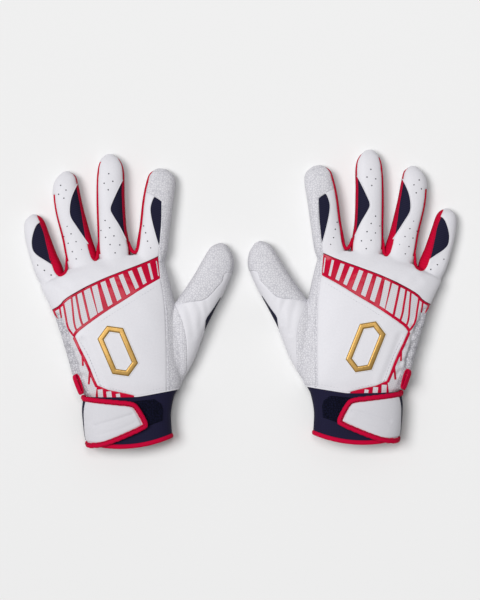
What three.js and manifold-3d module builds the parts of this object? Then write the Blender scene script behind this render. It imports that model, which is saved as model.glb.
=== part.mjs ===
/**
 * A pair of batting gloves, lying palm down and side by side, the fingers pointing along +Y.
 *
 * Millimetres, +Z up. Each glove is a thin leather shell: the hand, four fingers and the thumb are lofted
 * through rounded sections, joined, and hollowed by the same lofts drawn in by the wall. Seam lines, drawn in
 * plan, then part that shell into the panels that are cut and sewn in a real glove.
 *
 * The left glove is modelled about the middle of its wrist seam. The right one is its mirror image.
 */
import * as THREE from 'three';
import { mergeVertices } from 'three/addons/utils/BufferGeometryUtils.js';
import Module from 'manifold-3d';

const wasm = await Module();
wasm.setup();

// Driving dimensions of the hand, in millimetres
const handWidth = 108;
const handLength = 111;
const handThickness = 28;
const wall = 1.2;
const seamHeight = 6;
const seamGap = 0.3;

// Cuff, closure and trim, in millimetres
const bindingWidth = 4;
const bindingRise = 0.6;
const patchThickness = 0.8;
const strapThickness = 2.2;
const strapBindingRise = 0.5;
const strapHingeHeight = 11.5;
const tabLength = 17;
const tabWidth = 7;
const tabHeight = 5;
const tabWall = 1.5;

// The pair, in millimetres
const pairSpacing = 181;
const rightGloveAdvance = 3.2;
const rightGloveShift = 3;

// One overrun serves all cuts, in millimetres
const overrun = 60;

// Angles, in degrees
const rightGloveTurn = 1.25;
const tabLean = 18;
const tabPitch = 12;

// Counts of facets
const handFacets = 16;
const handRoomFacets = 10;
const fingerFacets = 10;
const fingerRoomFacets = 8;
const tabFacets = 4;

/**
 * The fingers and the thumb. The base is a share of the hand's width and length, the lean is in degrees
 * from +Y towards the little finger, and the length runs from the base to the tip.
 */
const fingers = {
  little: { base_shares: [-0.596, 0.872], lean: 17.1, length: 51.5, width: 21, thickness: 15.5, joint_share: 0.5 },
  ring: { base_shares: [-0.364, 0.953], lean: 9.2, length: 76.8, width: 23.5, thickness: 17, joint_share: 0.56 },
  middle: { base_shares: [-0.121, 0.997], lean: 2.9, length: 85, width: 24, thickness: 17.5, joint_share: 0.46 },
  index: { base_shares: [0.152, 1.027], lean: -8.4, length: 70.2, width: 25, thickness: 17.5, joint_share: 0.5 },
  thumb: { base_shares: [0.456, 0.547], lean: -23.4, length: 67, width: 31, thickness: 20, joint_share: 0.5 },
};

/**
 * Sections of each finger: along its length, left and right side as shares of its width from the axis, and
 * height as a share of its thickness.
 */
const section_shares = {
  little: [
    [-0.45, -0.3, 0.3, 0.8], [0, -0.57, 0.48, 1.06], [0.3, -0.61, 0.41, 1], [0.6, -0.585, 0.365, 0.98],
    [0.82, -0.5, 0.335, 0.9], [0.93, -0.38, 0.235, 0.76], [0.995, -0.15, 0.04, 0.5],
  ],
  ring: [
    [-0.3, -0.3, 0.3, 0.8], [0, -0.52, 0.56, 1.06], [0.3, -0.57, 0.44, 1], [0.6, -0.65, 0.34, 0.98],
    [0.82, -0.6, 0.3, 0.9], [0.93, -0.43, 0.255, 0.76], [0.995, -0.15, 0.04, 0.5],
  ],
  middle: [
    [-0.3, -0.3, 0.3, 0.8], [0, -0.52, 0.56, 1.06], [0.3, -0.535, 0.465, 1], [0.6, -0.51, 0.46, 0.98],
    [0.82, -0.445, 0.485, 0.9], [0.93, -0.33, 0.37, 0.76], [0.995, -0.11, 0.12, 0.5],
  ],
  index: [
    [-0.3, -0.3, 0.3, 0.8], [0, -0.475, 0.52, 1.06], [0.3, -0.48, 0.515, 1], [0.6, -0.51, 0.49, 0.98],
    [0.82, -0.475, 0.485, 0.9], [0.93, -0.39, 0.4, 0.76], [0.995, -0.14, 0.14, 0.5],
  ],
  thumb: [
    [-0.9, -0.75, 0.42, 0.9], [-0.5, -0.72, 0.53, 1.02], [-0.1, -0.6, 0.5, 1.08], [0.15, -0.48, 0.515, 1.04],
    [0.45, -0.355, 0.55, 1], [0.74, -0.28, 0.53, 0.92], [0.9, -0.22, 0.37, 0.76], [0.99, -0.05, 0.12, 0.5],
  ],
};

/** Shape of every section: height of its widest place, depth below that, and the powers that square it. */
const waist_share = 0.42;
const keel_share = 1.12;
const across_power_share = 0.82;
const up_power_share = 0.72;
const least_half_share = 0.3;

/** Sections of the hand from the cuff's mouth to the crotches: left x and y, right x and y, height, bow. */
const hand_section_shares = [
  [-0.29, -0.392, 0.322, -0.333, 0.95, -0.045],
  [-0.315, -0.17, 0.312, -0.17, 0.92, -0.015],
  [-0.32, -0.045, 0.332, -0.045, 0.93, 0],
  [-0.38, 0, 0.35, 0, 0.95, 0],
  [-0.425, 0.089, 0.385, 0.08, 1, 0],
  [-0.478, 0.273, 0.36, 0.26, 1.05, 0],
  [-0.538, 0.47, 0.352, 0.5, 1.05, 0],
  [-0.605, 0.64, 0.33, 0.68, 1, 0.01],
  [-0.672, 0.77, 0.28, 0.88, 0.86, 0.05],
  [-0.66, 0.8, 0.24, 1, 0.62, 0.085],
];

/** Seam lines on the back of the hand, as shares of its width and length. */
const stripe_top_shares = [
  [-0.596, 0.609], [-0.531, 0.639], [-0.501, 0.672], [-0.38, 0.757], [-0.228, 0.835], [-0.076, 0.901],
  [0.076, 0.964], [0.208, 1.001],
];
const stripe_bottom_shares = [
  [0.231, 0.842], [0.076, 0.75], [-0.076, 0.658], [-0.228, 0.554], [-0.38, 0.443], [-0.406, 0.406],
];
const flank_seam_shares = [[-0.356, 0.318], [-0.319, 0.259], [-0.289, 0.192], [-0.266, 0.125], [-0.235, 0.037]];
const wedge_seam_shares = [[-0.152, 0.018], [-0.076, 0.004], [0.005, -0.013]];
const strip_seam_shares = [[0.251, 0.679], [0.266, 0.532], [0.273, 0.347], [0.273, 0.007]];
const thumb_seam_shares = [[0.335, 0.665], [0.365, 0.605], [0.41, 0.495], [0.436, 0.347], [0.432, 0.125], [0.38, 0.03]];
const wrist_seam_shares = [[-0.42, -0.034], [0.005, -0.034], [0.061, -0.028], [0.152, -0.013], [0.42, 0.037]];
const mouth_shares = [[-0.42, -0.375], [-0.296, -0.417], [-0.152, -0.428], [0, -0.414], [0.2, -0.384], [0.42, -0.31]];

/** Seam lines on the fingers: across as shares of the width, along as shares of the length. */
const gusset_shares = {
  little: [[0.17, 0.845], [0, 0.816], [-0.16, 0.737], [-0.31, 0.639], [-0.4, 0.55], [-0.43, 0.454], [-0.39, 0.382],
    [-0.25, 0.297], [-0.09, 0.228], [0.13, 0.117], [0.25, 0.117], [0.3, 0.513], [0.25, 0.845]],
  ring: [[0.27, 0.841], [0.08, 0.753], [-0.04, 0.683], [-0.11, 0.611], [-0.15, 0.537], [-0.12, 0.481], [0, 0.4],
    [0.1, 0.33], [0.31, 0.19], [0.42, 0.19], [0.42, 0.56], [0.36, 0.841]],
  middle: [[0.42, 0.738], [0.07, 0.55], [-0.07, 0.46], [0.04, 0.396], [0.26, 0.286], [0.44, 0.157], [0.56, 0.157],
    [0.56, 0.545], [0.5, 0.738]],
  index: [[-0.12, 0.661], [-0.16, 0.618], [-0.19, 0.533], [-0.18, 0.486], [-0.1, 0.396], [-0.02, 0.318],
    [0.09, 0.229], [0.22, 0.14], [0.3, 0.14], [0.3, 0.49], [0.13, 0.5], [0.05, 0.626]],
};
const strip_finger_shares = [[0.19, 0.5], [0.22, 0.283], [0.25, 0.166], [0.25, 0.048]];
const fork_right_shares = {
  little: [[0.09, 1.1], [0.16, 0.946], [0.19, 0.83], [0.19, 0.69], [0.17, 0.513], [0.16, 0.3], [0.15, 0.115], [0.21, 0.007]],
  ring: [[0.14, 1.1], [0.24, 0.853], [0.28, 0.74], [0.28, 0.56], [0.31, 0.342], [0.33, 0.2], [0.34, 0.102], [0.37, 0.036]],
  middle: [[0.16, 1.1], [0.37, 0.844], [0.4, 0.7], [0.38, 0.545], [0.38, 0.351], [0.42, 0.157], [0.46, 0.04]],
};
const fork_left_shares = {
  ring: [[-0.32, -0.03], [-0.4, 0.077], [-0.48, 0.232], [-0.51, 0.396], [-0.54, 0.56]],
  middle: [[-0.42, 0.007], [-0.43, 0.171], [-0.44, 0.268], [-0.45, 0.46]],
  index: [[-0.36, 0.026], [-0.36, 0.132], [-0.37, 0.3], [-0.39, 0.5]],
};
const patch_seam_shares = [
  [-0.42, 0.076], [-0.29, 0.122], [-0.17, 0.18], [0, 0.219], [0.14, 0.254], [0.22, 0.323],
  [0.3, 0.393], [0.38, 0.489], [0.42, 0.56],
];
const insert_shares = [[0.52, 0.38], [0.47, 0.24], [0.4, 0.094], [0.4, 0.053], [0.5, -0.1], [0.8, -0.1], [0.8, 0.38]];

/** Outlines of the closure on the cuff, as shares of the hand's width and length. */
const strap_outer_shares = [
  [-0.5, -0.035], [-0.349, -0.037], [-0.228, -0.055], [-0.076, -0.063], [0.03, -0.068], [0.061, -0.081],
  [0.099, -0.14], [0.138, -0.23], [0.129, -0.259], [0.038, -0.31], [-0.114, -0.369], [-0.251, -0.414],
  [-0.296, -0.416], [-0.34, -0.4], [-0.5, -0.36],
];
const strap_inner_shares = [
  [-0.52, -0.072], [-0.357, -0.074], [-0.228, -0.096], [-0.076, -0.105], [0.015, -0.109], [0.034, -0.122],
  [0.091, -0.236], [0, -0.281], [-0.152, -0.344], [-0.266, -0.379], [-0.323, -0.376], [-0.52, -0.335],
];
const hook_shares = [[-0.12, -0.135], [0.005, -0.135], [0.055, -0.228], [-0.02, -0.26], [-0.12, -0.29]];
const loop_shares = [[-0.1, -0.11], [0.2, -0.1], [0.295, -0.085], [0.295, -0.235], [0.2, -0.26], [-0.1, -0.31]];
const tab_place_shares = [-0.385, 0.06];
const tab_height_share = 0.82;

/** Corners that close the cutting outlines, inside the glove at the crotches and well outside it elsewhere. */
const crotch_shares = {
  web_ring_little: [[-0.57, 0.85], [-0.52, 0.83], [-0.445, 0.87]],
  web_middle_ring: [[-0.3, 0.945], [-0.262, 0.935], [-0.215, 0.955]],
  web_index_middle: [[-0.02, 0.985], [0.034, 0.985], [0.075, 0.995]],
};
const palm_cut_shares = [[-2, -2], [2, -2], [2, 3], [-2, 3]];
const cuff_cut_shares = [[0.9, 0.04], [0.9, -0.9], [-0.9, -0.9], [-0.9, -0.034]];
const binding_cut_shares = [[0.9, -0.31], [0.9, -0.9], [-0.9, -0.9], [-0.9, -0.375]];
const fork_end_cut_shares = [[0.75, 0.4], [0.75, 1.1]];
const web_end_cut_shares = [[-0.75, 0.62]];
const stripe_head_cut_shares = [[-0.9, 0.609]];
const stripe_foot_cut_shares = [[0.005, -0.034], [-0.9, -0.034]];
const strip_head_shares = [[0.208, 1.001], [0.231, 0.842]];
const strip_crotch_cut_shares = [[0.42, 0.85]];
const strip_end_cut_shares = [[0.9, 0.2], [0.9, 0.5]];
const knuckle_flank_cut_shares = [[-1.1, 0.609]];
const knuckle_end_cut_shares = [[0.3, 2], [-1.1, 2]];
const patch_end_cut_shares = [[0.42, 0.7], [-0.7, 0.7]];
const patch_root_cut_shares = [[-0.551, 0.166], [-0.458, 0.068]];
const base_foot_cut_shares = [[0.43, 0.045], [0.9, 0.1]];
const base_end_cut_shares = [[1, 0.56]];
const joint_side_shares = { little: 0.67, ring: 0.67, middle: 0.67, index: 0.67, thumb: 0.9 };
const joint_reach_share = 1.3;

// Finishes
const leatherWhite = { color: 0xe1e0e6, roughness: 0.55, metalness: 0 };
const leatherPebbled = { color: 0xd3d3d6, roughness: 0.75, metalness: 0 };
const meshGrey = { color: 0xc9cccc, roughness: 0.8, metalness: 0 };
const knitRed = { color: 0xc8102e, roughness: 0.8, metalness: 0 };
const knitNavy = { color: 0x22223a, roughness: 0.85, metalness: 0 };
const elasticNavy = { color: 0x15172b, roughness: 0.8, metalness: 0 };
const bindingRed = { color: 0xdc1446, roughness: 0.6, metalness: 0 };
const hookGrey = { color: 0xdedee2, roughness: 0.95, metalness: 0 };

/** A closed solid from positions and triangle indices. */
function toSolid(geometry) {
  geometry.deleteAttribute('normal');
  geometry.deleteAttribute('uv');
  const merged = mergeVertices(geometry);
  return new wasm.Manifold(new wasm.Mesh({
    numProp: 3,
    vertProperties: new Float32Array(merged.attributes.position.array),
    triVerts: new Uint32Array(merged.index.array),
  }));
}

/** A solid carried through closed rings of points, each ring capped at the ends round its middle. */
function loftSolid(rings) {
  const count = rings[0].length;
  const positions = rings.flat().flatMap((point) => point.toArray());
  const faces = [];
  for (let ring = 0; ring + 1 < rings.length; ring += 1) {
    for (let step = 0; step < count; step += 1) {
      const next = (step + 1) % count;
      const here = ring * count;
      const there = here + count;
      faces.push(here + step, there + step, there + next, here + step, there + next, here + next);
    }
  }
  for (const [ring, outward] of [[0, false], [rings.length - 1, true]]) {
    const middle = new THREE.Vector3();
    rings[ring].forEach((point) => middle.add(point));
    middle.divideScalar(count);
    const hub = positions.length / 3;
    positions.push(...middle.toArray());
    for (let step = 0; step < count; step += 1) {
      const here = ring * count + step;
      const there = ring * count + ((step + 1) % count);
      faces.push(hub, outward ? there : here, outward ? here : there);
    }
  }
  const geometry = new THREE.BufferGeometry();
  geometry.setAttribute('position', new THREE.Float32BufferAttribute(positions, 3));
  geometry.setIndex(faces);
  return toSolid(geometry);
}

/** A power of the size of a number that keeps its sign. */
function signedPower(value, power) {
  return Math.sign(value) * Math.abs(value) ** power;
}

/**
 * One rounded section between a left and a right point in plan. Its top is domed, its underside is flat
 * where it rests, and grow moves its whole outline outwards, or inwards where it is negative.
 */
function sectionRing({ left, right, top, grow, bow = 0, facets }) {
  const side = right.clone().sub(left).normalize();
  const start = left.clone().addScaledVector(side, -grow);
  const end = right.clone().addScaledVector(side, grow);
  const forward = new THREE.Vector2(-side.y, side.x);
  const waist = top * waist_share;
  const keel = waist * keel_share;
  const ring = [];
  for (let step = 0; step < facets; step += 1) {
    const angle = (2 * Math.PI * step) / facets;
    const across = (1 + signedPower(Math.cos(angle), across_power_share)) / 2;
    const up = signedPower(Math.sin(angle), up_power_share);
    const place = start.clone().lerp(end, across).addScaledVector(forward, bow * 4 * across * (1 - across));
    const height = up >= 0 ? waist + (top + grow - waist) * up : Math.max(0, -grow, waist + (keel + grow) * up);
    ring.push(new THREE.Vector3(place.x, place.y, height));
  }
  return ring;
}

/** A point of the hand's plan, from its shares. */
function handPoint([across, along]) {
  return new THREE.Vector2(across * handWidth, along * handLength);
}

/** A point of a finger's plan, from its shares across the width and along the length. */
function fingerPoint(name, [across, along]) {
  const { base_shares: base, lean, length, width } = fingers[name];
  const turn = THREE.MathUtils.degToRad(lean);
  return new THREE.Vector2(across * width, along * length).rotateAround(new THREE.Vector2(), turn).add(handPoint(base));
}

/** The hand and cuff as one solid, with its outline grown by a length, and run on past the mouth where asked. */
function handSolid(grow, mouthRun = 0) {
  const rings = hand_section_shares.map(([leftX, leftY, rightX, rightY, height, bow], row, rows) => sectionRing({
    left: handPoint([leftX, leftY]),
    right: handPoint([rightX, rightY]),
    top: height * handThickness,
    bow: bow * handLength + (row >= rows.length - 2 ? grow : 0),
    grow,
    facets: grow < 0 ? handRoomFacets : handFacets,
  }));
  if (mouthRun > 0) rings.unshift(rings[0].map((point) => new THREE.Vector3(point.x, point.y - mouthRun, point.z)));
  return loftSolid(rings);
}

/** One finger as a solid, with its outline grown by a length. */
function fingerSolid(name, grow) {
  const { length, width, thickness } = fingers[name];
  const rings = section_shares[name].map(([along, left, right, height], row, rows) => {
    const reach = along + (row > rows.length - 4 ? grow / length : 0);
    const slim = Math.min(0, grow + least_half_share * (right - left) * width);
    return sectionRing({
      left: fingerPoint(name, [left, reach]),
      right: fingerPoint(name, [right, reach]),
      top: height * thickness,
      grow: grow - slim,
      facets: grow < 0 ? fingerRoomFacets : fingerFacets,
    });
  });
  return loftSolid(rings);
}

/** The outline moved outwards by a length along its corners' bisectors, or inwards where it is negative. */
function offsetOutline(points, distance) {
  const turn = THREE.ShapeUtils.isClockWise(points) ? -1 : 1;
  return points.map((point, index) => {
    const before = point.clone().sub(points[(index + points.length - 1) % points.length]).normalize();
    const after = points[(index + 1) % points.length].clone().sub(point).normalize();
    const normalBefore = new THREE.Vector2(before.y, -before.x);
    const normalAfter = new THREE.Vector2(after.y, -after.x);
    const bisector = normalBefore.clone().add(normalAfter).normalize();
    const stretch = Math.min(2, 1 / Math.max(bisector.dot(normalBefore), 0.5));
    return point.clone().addScaledVector(bisector, turn * distance * stretch);
  });
}

/** An upright cutter over an outline, from one height to another, with the outline moved out by a length. */
function cutter(points, { low = seamHeight + seamGap / 2, high = overrun, out = 0 } = {}) {
  const geometry = new THREE.ExtrudeGeometry(new THREE.Shape(offsetOutline(points, out)), {
    depth: high - low,
    bevelEnabled: false,
  });
  geometry.translate(0, 0, low);
  return toSolid(geometry);
}

/** The rectangle, in plan, of the part of a finger beyond its joint. */
function beyondJoint(name) {
  const joint = fingers[name].joint_share;
  const side = joint_side_shares[name];
  return [[-side, joint], [side, joint], [side, joint_reach_share], [-side, joint_reach_share]]
    .map((pair) => fingerPoint(name, pair));
}

const hand = (shares) => shares.map(handPoint);
const finger = (name, shares) => shares.map((pair) => fingerPoint(name, pair));

const inset = -seamGap / 2;
const outset = seamGap / 2;
const bendingFingers = ['little', 'ring', 'middle', 'index'];
const forkedFingers = ['little', 'ring', 'middle'];

/** The shell of the whole glove: outer skin less the room inside. */
function gloveShell() {
  let skin = handSolid(0);
  let room = handSolid(-wall, overrun);
  for (const name of Object.keys(fingers)) {
    skin = skin.add(fingerSolid(name, 0));
    room = room.add(fingerSolid(name, -wall));
  }
  return { skin, room, shell: skin.subtract(room) };
}

const { room, shell } = gloveShell();

/** The height below which a piece belongs to the palm, over the whole glove. */
const palmSide = cutter(hand(palm_cut_shares), { low: -overrun, high: seamHeight - seamGap / 2 });

const wristLine = hand(wrist_seam_shares);
const belowWrist = [...wristLine, ...hand(cuff_cut_shares)];
const mouthLine = hand(mouth_shares);
const bindingLine = mouthLine.map((point) => point.clone().add(new THREE.Vector2(0, bindingWidth)));
const belowBinding = [...bindingLine, ...hand(binding_cut_shares)];

/** Plan of the red strip on the side of a finger beyond its joint. */
function forkEnd(name) {
  return finger(name, [...fork_right_shares[name].slice(0, 5), ...fork_end_cut_shares]);
}

/** Plan of the red strip between two fingers, up to their joints. */
function webPlan(web, low, high) {
  return [
    ...finger(low, fork_right_shares[low].slice(3)),
    ...hand(crotch_shares[web]),
    ...finger(high, [...fork_left_shares[high], ...web_end_cut_shares]),
  ];
}

const webs = {
  web_ring_little: webPlan('web_ring_little', 'little', 'ring'),
  web_middle_ring: webPlan('web_middle_ring', 'ring', 'middle'),
  web_index_middle: webPlan('web_index_middle', 'middle', 'index'),
};

const plans = {
  back: hand([
    ...stripe_bottom_shares, ...flank_seam_shares, ...wedge_seam_shares, ...wrist_seam_shares.slice(2, 4),
    ...[...strip_seam_shares].reverse(),
  ]),
  stripe: hand([
    ...stripe_head_cut_shares, ...stripe_top_shares, ...stripe_bottom_shares, ...flank_seam_shares,
    ...wedge_seam_shares, ...stripe_foot_cut_shares,
  ]),
  strip: [
    ...finger('index', strip_finger_shares),
    ...hand([...strip_head_shares, ...strip_seam_shares]),
    ...hand([...[...thumb_seam_shares].reverse(), ...strip_crotch_cut_shares]),
    ...finger('index', strip_end_cut_shares),
  ],
  knuckle: [
    ...hand([...knuckle_flank_cut_shares, ...stripe_top_shares]),
    ...finger('index', [...strip_finger_shares].reverse()),
    ...hand(knuckle_end_cut_shares),
  ],
  patch: finger('thumb', [...patch_seam_shares, ...patch_end_cut_shares, ...patch_root_cut_shares]),
  thumbBase: [
    ...hand([...thumb_seam_shares.slice(1), ...base_foot_cut_shares]),
    ...finger('thumb', [...base_end_cut_shares, ...[...patch_seam_shares].reverse()]),
  ],
};

/** Joins several solids into one cutter. */
function joined(solids) {
  return solids.reduce((whole, solid) => whole.add(solid));
}

const forkHoles = joined([
  ...forkedFingers.map((name) => cutter(forkEnd(name), { out: outset })),
  ...Object.values(webs).map((plan) => cutter(plan, { out: outset })),
]);
const beyondJoints = joined(Object.keys(fingers).map((name) => cutter(beyondJoint(name), { low: -overrun, out: outset })));
const gussetHoles = joined(bendingFingers.map((name) => cutter(finger(name, gusset_shares[name]), { out: outset })));
const webHoles = joined(Object.values(webs).map((plan) => cutter(plan, { out: outset })));
const stripHole = cutter(plans.strip, { out: outset });
const cuffHole = cutter(belowWrist, { low: -overrun, out: outset });

/** A panel of the upper side: the shell inside an outline, less what its neighbours take. */
function upperPanel(plan, ...holes) {
  return holes.reduce((panel, hole) => panel.subtract(hole), shell.intersect(cutter(plan, { out: inset })));
}

const pieces = {};

pieces.palm = [shell.intersect(palmSide).subtract(cuffHole).subtract(beyondJoints), leatherPebbled];
pieces.back_panel = [upperPanel(plans.back, cuffHole), leatherWhite];
pieces.stripe_panel = [upperPanel(plans.stripe, cuffHole), meshGrey];
pieces.side_strip = [upperPanel(plans.strip, cuffHole, beyondJoints), leatherPebbled];
pieces.knuckle_panel = [upperPanel(plans.knuckle, beyondJoints, gussetHoles, webHoles, stripHole), leatherWhite];
pieces.thumb_patch = [upperPanel(plans.patch, beyondJoints, stripHole), leatherPebbled];
const insertPlan = finger('thumb', insert_shares);
pieces.thumb_base = [upperPanel(plans.thumbBase, beyondJoints, cuffHole, cutter(insertPlan, { out: outset })), leatherWhite];
pieces.thumb_insert = [upperPanel(insertPlan, beyondJoints), knitNavy];
pieces.thumb_tip = [
  shell.intersect(cutter(beyondJoint('thumb'), { low: -overrun, out: inset })),
  leatherPebbled,
];
for (const [name, plan] of Object.entries(webs)) {
  pieces[name] = [upperPanel(plan, beyondJoints), knitRed];
}
for (const name of bendingFingers) {
  pieces[`${name}_gusset`] = [upperPanel(finger(name, gusset_shares[name]), forkHoles, stripHole), knitNavy];
}
for (const name of forkedFingers) {
  const end = shell.intersect(cutter(beyondJoint(name), { low: -overrun, out: inset }));
  const forkCut = cutter(forkEnd(name), { low: -overrun });
  const gussetHole = cutter(finger(name, gusset_shares[name]), { out: outset });
  const back = cutter(beyondJoint(name), { out: fingers[name].width });
  const backCut = cutter(beyondJoint(name), { low: seamHeight - seamGap / 2, out: fingers[name].width });
  const forkWide = cutter(forkEnd(name), { low: -overrun, out: outset });
  pieces[`${name}_tip_back`] = [end.intersect(back).subtract(forkWide).subtract(gussetHole), leatherWhite];
  pieces[`${name}_tip_palm`] = [end.subtract(backCut.subtract(forkCut)).subtract(gussetHole), leatherPebbled];
}
pieces.index_cap = [
  shell.intersect(cutter(beyondJoint('index'), { low: -overrun, out: inset })).subtract(
    cutter(finger('index', gusset_shares.index), { out: outset }),
  ),
  leatherPebbled,
];

// The cuff, its binding and the closure
const cuffZone = cutter(belowWrist, { low: -overrun, out: inset });
const bindingZone = cutter(belowBinding, { low: -overrun, out: inset });
pieces.cuff = [
  shell.intersect(cuffZone).subtract(cutter(belowBinding, { low: -overrun, out: outset })),
  elasticNavy,
];
pieces.cuff_binding = [handSolid(bindingRise).subtract(room).intersect(bindingZone), bindingRed];

const loopFoot = seamGap;
const loopTop = loopFoot + patchThickness;
const hookFoot = loopTop + seamGap;
const hookTop = hookFoot + patchThickness;
const strapFoot = bindingRise + seamGap;
const strapTop = hookTop + seamGap + strapThickness;
const patchPlan = hand(loop_shares);
const hookPlan = hand(hook_shares);
pieces.loop_patch = [
  handSolid(loopTop).subtract(handSolid(loopFoot)).intersect(cutter(patchPlan)),
  hookGrey,
];
pieces.hook_patch = [
  handSolid(hookTop).subtract(handSolid(hookFoot)).intersect(cutter(hookPlan)),
  hookGrey,
];
const patchPocket = joined([
  handSolid(loopTop + seamGap).intersect(cutter(patchPlan, { out: seamGap })),
  handSolid(hookTop + seamGap).intersect(cutter(hookPlan, { out: seamGap })),
]);
const strapZone = cutter(hand(strap_outer_shares), { low: strapHingeHeight });
const strapCore = cutter(hand(strap_inner_shares), { low: strapHingeHeight, out: inset });
const strapCoreWide = cutter(hand(strap_inner_shares), { low: strapHingeHeight, out: outset });
const strapSeat = handSolid(strapFoot, overrun).add(patchPocket);
const strapBody = handSolid(strapTop).subtract(strapSeat);
pieces.strap = [strapBody.intersect(strapCore), leatherWhite];
pieces.strap_binding = [
  handSolid(strapTop + strapBindingRise).subtract(strapSeat).intersect(strapZone).subtract(strapCoreWide),
  bindingRed,
];

/** The webbing loop at the little finger side of the wrist: a flat closed loop, lying along the flank. */
function pullTab() {
  const outline = new THREE.Shape();
  const radius = tabHeight / 2;
  outline.absarc(tabLength / 2 - radius, 0, radius, -Math.PI / 2, Math.PI / 2, false);
  outline.absarc(radius - tabLength / 2, 0, radius, Math.PI / 2, (3 * Math.PI) / 2, false);
  const eye = new THREE.Path();
  eye.absarc(tabLength / 2 - radius, 0, radius - tabWall, -Math.PI / 2, Math.PI / 2, false);
  eye.absarc(radius - tabLength / 2, 0, radius - tabWall, Math.PI / 2, (3 * Math.PI) / 2, false);
  outline.holes.push(eye);
  const geometry = new THREE.ExtrudeGeometry(outline, { depth: tabWidth, bevelEnabled: false, curveSegments: tabFacets });
  geometry.translate(0, 0, -tabWidth / 2);
  geometry.rotateX(Math.PI / 2);
  geometry.rotateY(THREE.MathUtils.degToRad(tabPitch));
  geometry.rotateZ(Math.PI / 2 + THREE.MathUtils.degToRad(tabLean));
  const place = handPoint(tab_place_shares);
  geometry.translate(place.x, place.y, handThickness * tab_height_share);
  return toSolid(geometry);
}
pieces.pull_tab = [pullTab().subtract(handSolid(seamGap)), bindingRed];

/** The geometry of a solid's main body, without the crumbs that a cut leaves along a seam. */
function mainBody(solid) {
  const { vertProperties, triVerts } = solid.getMesh();
  const owner = Array.from({ length: vertProperties.length / 3 }, (_, index) => index);
  const ownerOf = (index) => {
    let root = index;
    while (owner[root] !== root) root = owner[root];
    owner[index] = root;
    return root;
  };
  const bodies = new Map();
  for (let corner = 0; corner < triVerts.length; corner += 3) {
    owner[ownerOf(triVerts[corner])] = ownerOf(triVerts[corner + 1]);
    owner[ownerOf(triVerts[corner + 1])] = ownerOf(triVerts[corner + 2]);
  }
  for (let corner = 0; corner < triVerts.length; corner += 3) {
    const root = ownerOf(triVerts[corner]);
    const body = bodies.get(root) ?? { faces: [], volume: 0 };
    const face = Array.from(triVerts.subarray(corner, corner + 3));
    const [a, b, c] = face.map((index) => new THREE.Vector3().fromArray(vertProperties, index * 3));
    body.faces.push(...face);
    body.volume += a.dot(b.cross(c)) / 6;
    bodies.set(root, body);
  }
  const main = [...bodies.values()].reduce((best, body) => (body.volume > best.volume ? body : best));
  const geometry = new THREE.BufferGeometry();
  geometry.setAttribute('position', new THREE.BufferAttribute(new Float32Array(vertProperties), 3));
  geometry.setIndex(main.faces);
  return geometry;
}

/** One glove as a group of named meshes. */
function glove(side) {
  const group = new THREE.Group();
  for (const [name, [solid, finish]] of Object.entries(pieces)) {
    const geometry = mainBody(solid);
    const mesh = new THREE.Mesh(geometry, new THREE.MeshStandardMaterial(finish));
    mesh.name = `${side}_${name}`;
    group.add(mesh);
  }
  return group;
}

const leftGlove = glove('left');
leftGlove.position.set(-pairSpacing / 2, 0, 0);

const rightGlove = glove('right');
rightGlove.scale.set(-1, 1, 1);
rightGlove.rotation.set(0, 0, THREE.MathUtils.degToRad(rightGloveTurn));
rightGlove.position.set(pairSpacing / 2 + rightGloveShift, rightGloveAdvance, 0);

const pair = new THREE.Group();
pair.name = 'batting_gloves';
pair.add(leftGlove, rightGlove);
pair.updateMatrixWorld(true);
const middle = new THREE.Box3().setFromObject(pair).getCenter(new THREE.Vector3());
pair.position.set(-middle.x, -middle.y, 0);

export default pair;
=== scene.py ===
"""A pair of batting gloves lying palm down on a pale floor, seen from straight above.

Both gloves are worked out once, in millimetres, about the middle of the left glove's wrist seam. The skin of
the whole glove is lofted from rounded sections, joined and smoothed, and then cut along its seam lines into
the panels that are sewn together in a real glove. The right glove is the mirror image, turned a little.
"""
from __future__ import annotations

import logging
import math
from collections.abc import Sequence
from dataclasses import dataclass
from enum import Enum
from typing import ClassVar

import bpy
import numpy as np
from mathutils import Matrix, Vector
from mathutils.bvhtree import BVHTree


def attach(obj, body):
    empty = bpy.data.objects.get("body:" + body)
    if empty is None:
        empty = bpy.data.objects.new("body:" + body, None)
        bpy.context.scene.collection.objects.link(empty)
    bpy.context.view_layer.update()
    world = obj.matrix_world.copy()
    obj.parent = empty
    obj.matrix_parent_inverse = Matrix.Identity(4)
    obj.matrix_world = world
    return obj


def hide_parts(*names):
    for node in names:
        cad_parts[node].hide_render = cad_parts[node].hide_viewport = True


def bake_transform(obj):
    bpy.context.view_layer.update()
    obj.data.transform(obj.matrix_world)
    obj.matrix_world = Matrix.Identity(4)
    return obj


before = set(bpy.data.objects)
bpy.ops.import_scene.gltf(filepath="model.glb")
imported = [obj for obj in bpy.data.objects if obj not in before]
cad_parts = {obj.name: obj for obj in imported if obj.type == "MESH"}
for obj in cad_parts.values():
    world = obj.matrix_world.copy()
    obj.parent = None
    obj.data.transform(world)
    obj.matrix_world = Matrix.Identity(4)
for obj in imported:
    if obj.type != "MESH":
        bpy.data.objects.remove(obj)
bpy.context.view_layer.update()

LOG = logging.getLogger("gloves")

# Points in plan, as an array or as rows of x and y
Line = np.ndarray | Sequence[Sequence[float]]

MM = 0.001
HAND_WIDTH = 108.0
HAND_LENGTH = 111.0
HAND_THICKNESS = 28.0
SEAM_HEIGHT = 6.0
# How far apart the gloves lie, and how the right one is shifted and turned
PAIR_SPACING = 181.0
RIGHT_SHIFT = 3.0
RIGHT_ADVANCE = 3.2
RIGHT_TURN = math.radians(1.25)
PAIR_MIDDLE = np.array([0.2032, 76.6675])
# A rounded section: powers of the cosine across it and of the sine up it, its waist and how full its keel is
ACROSS_POWER = 0.82
RISE_POWER = 0.72
WAIST_SHARE = 0.42
KEEL_SHARE = 1.12
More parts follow.
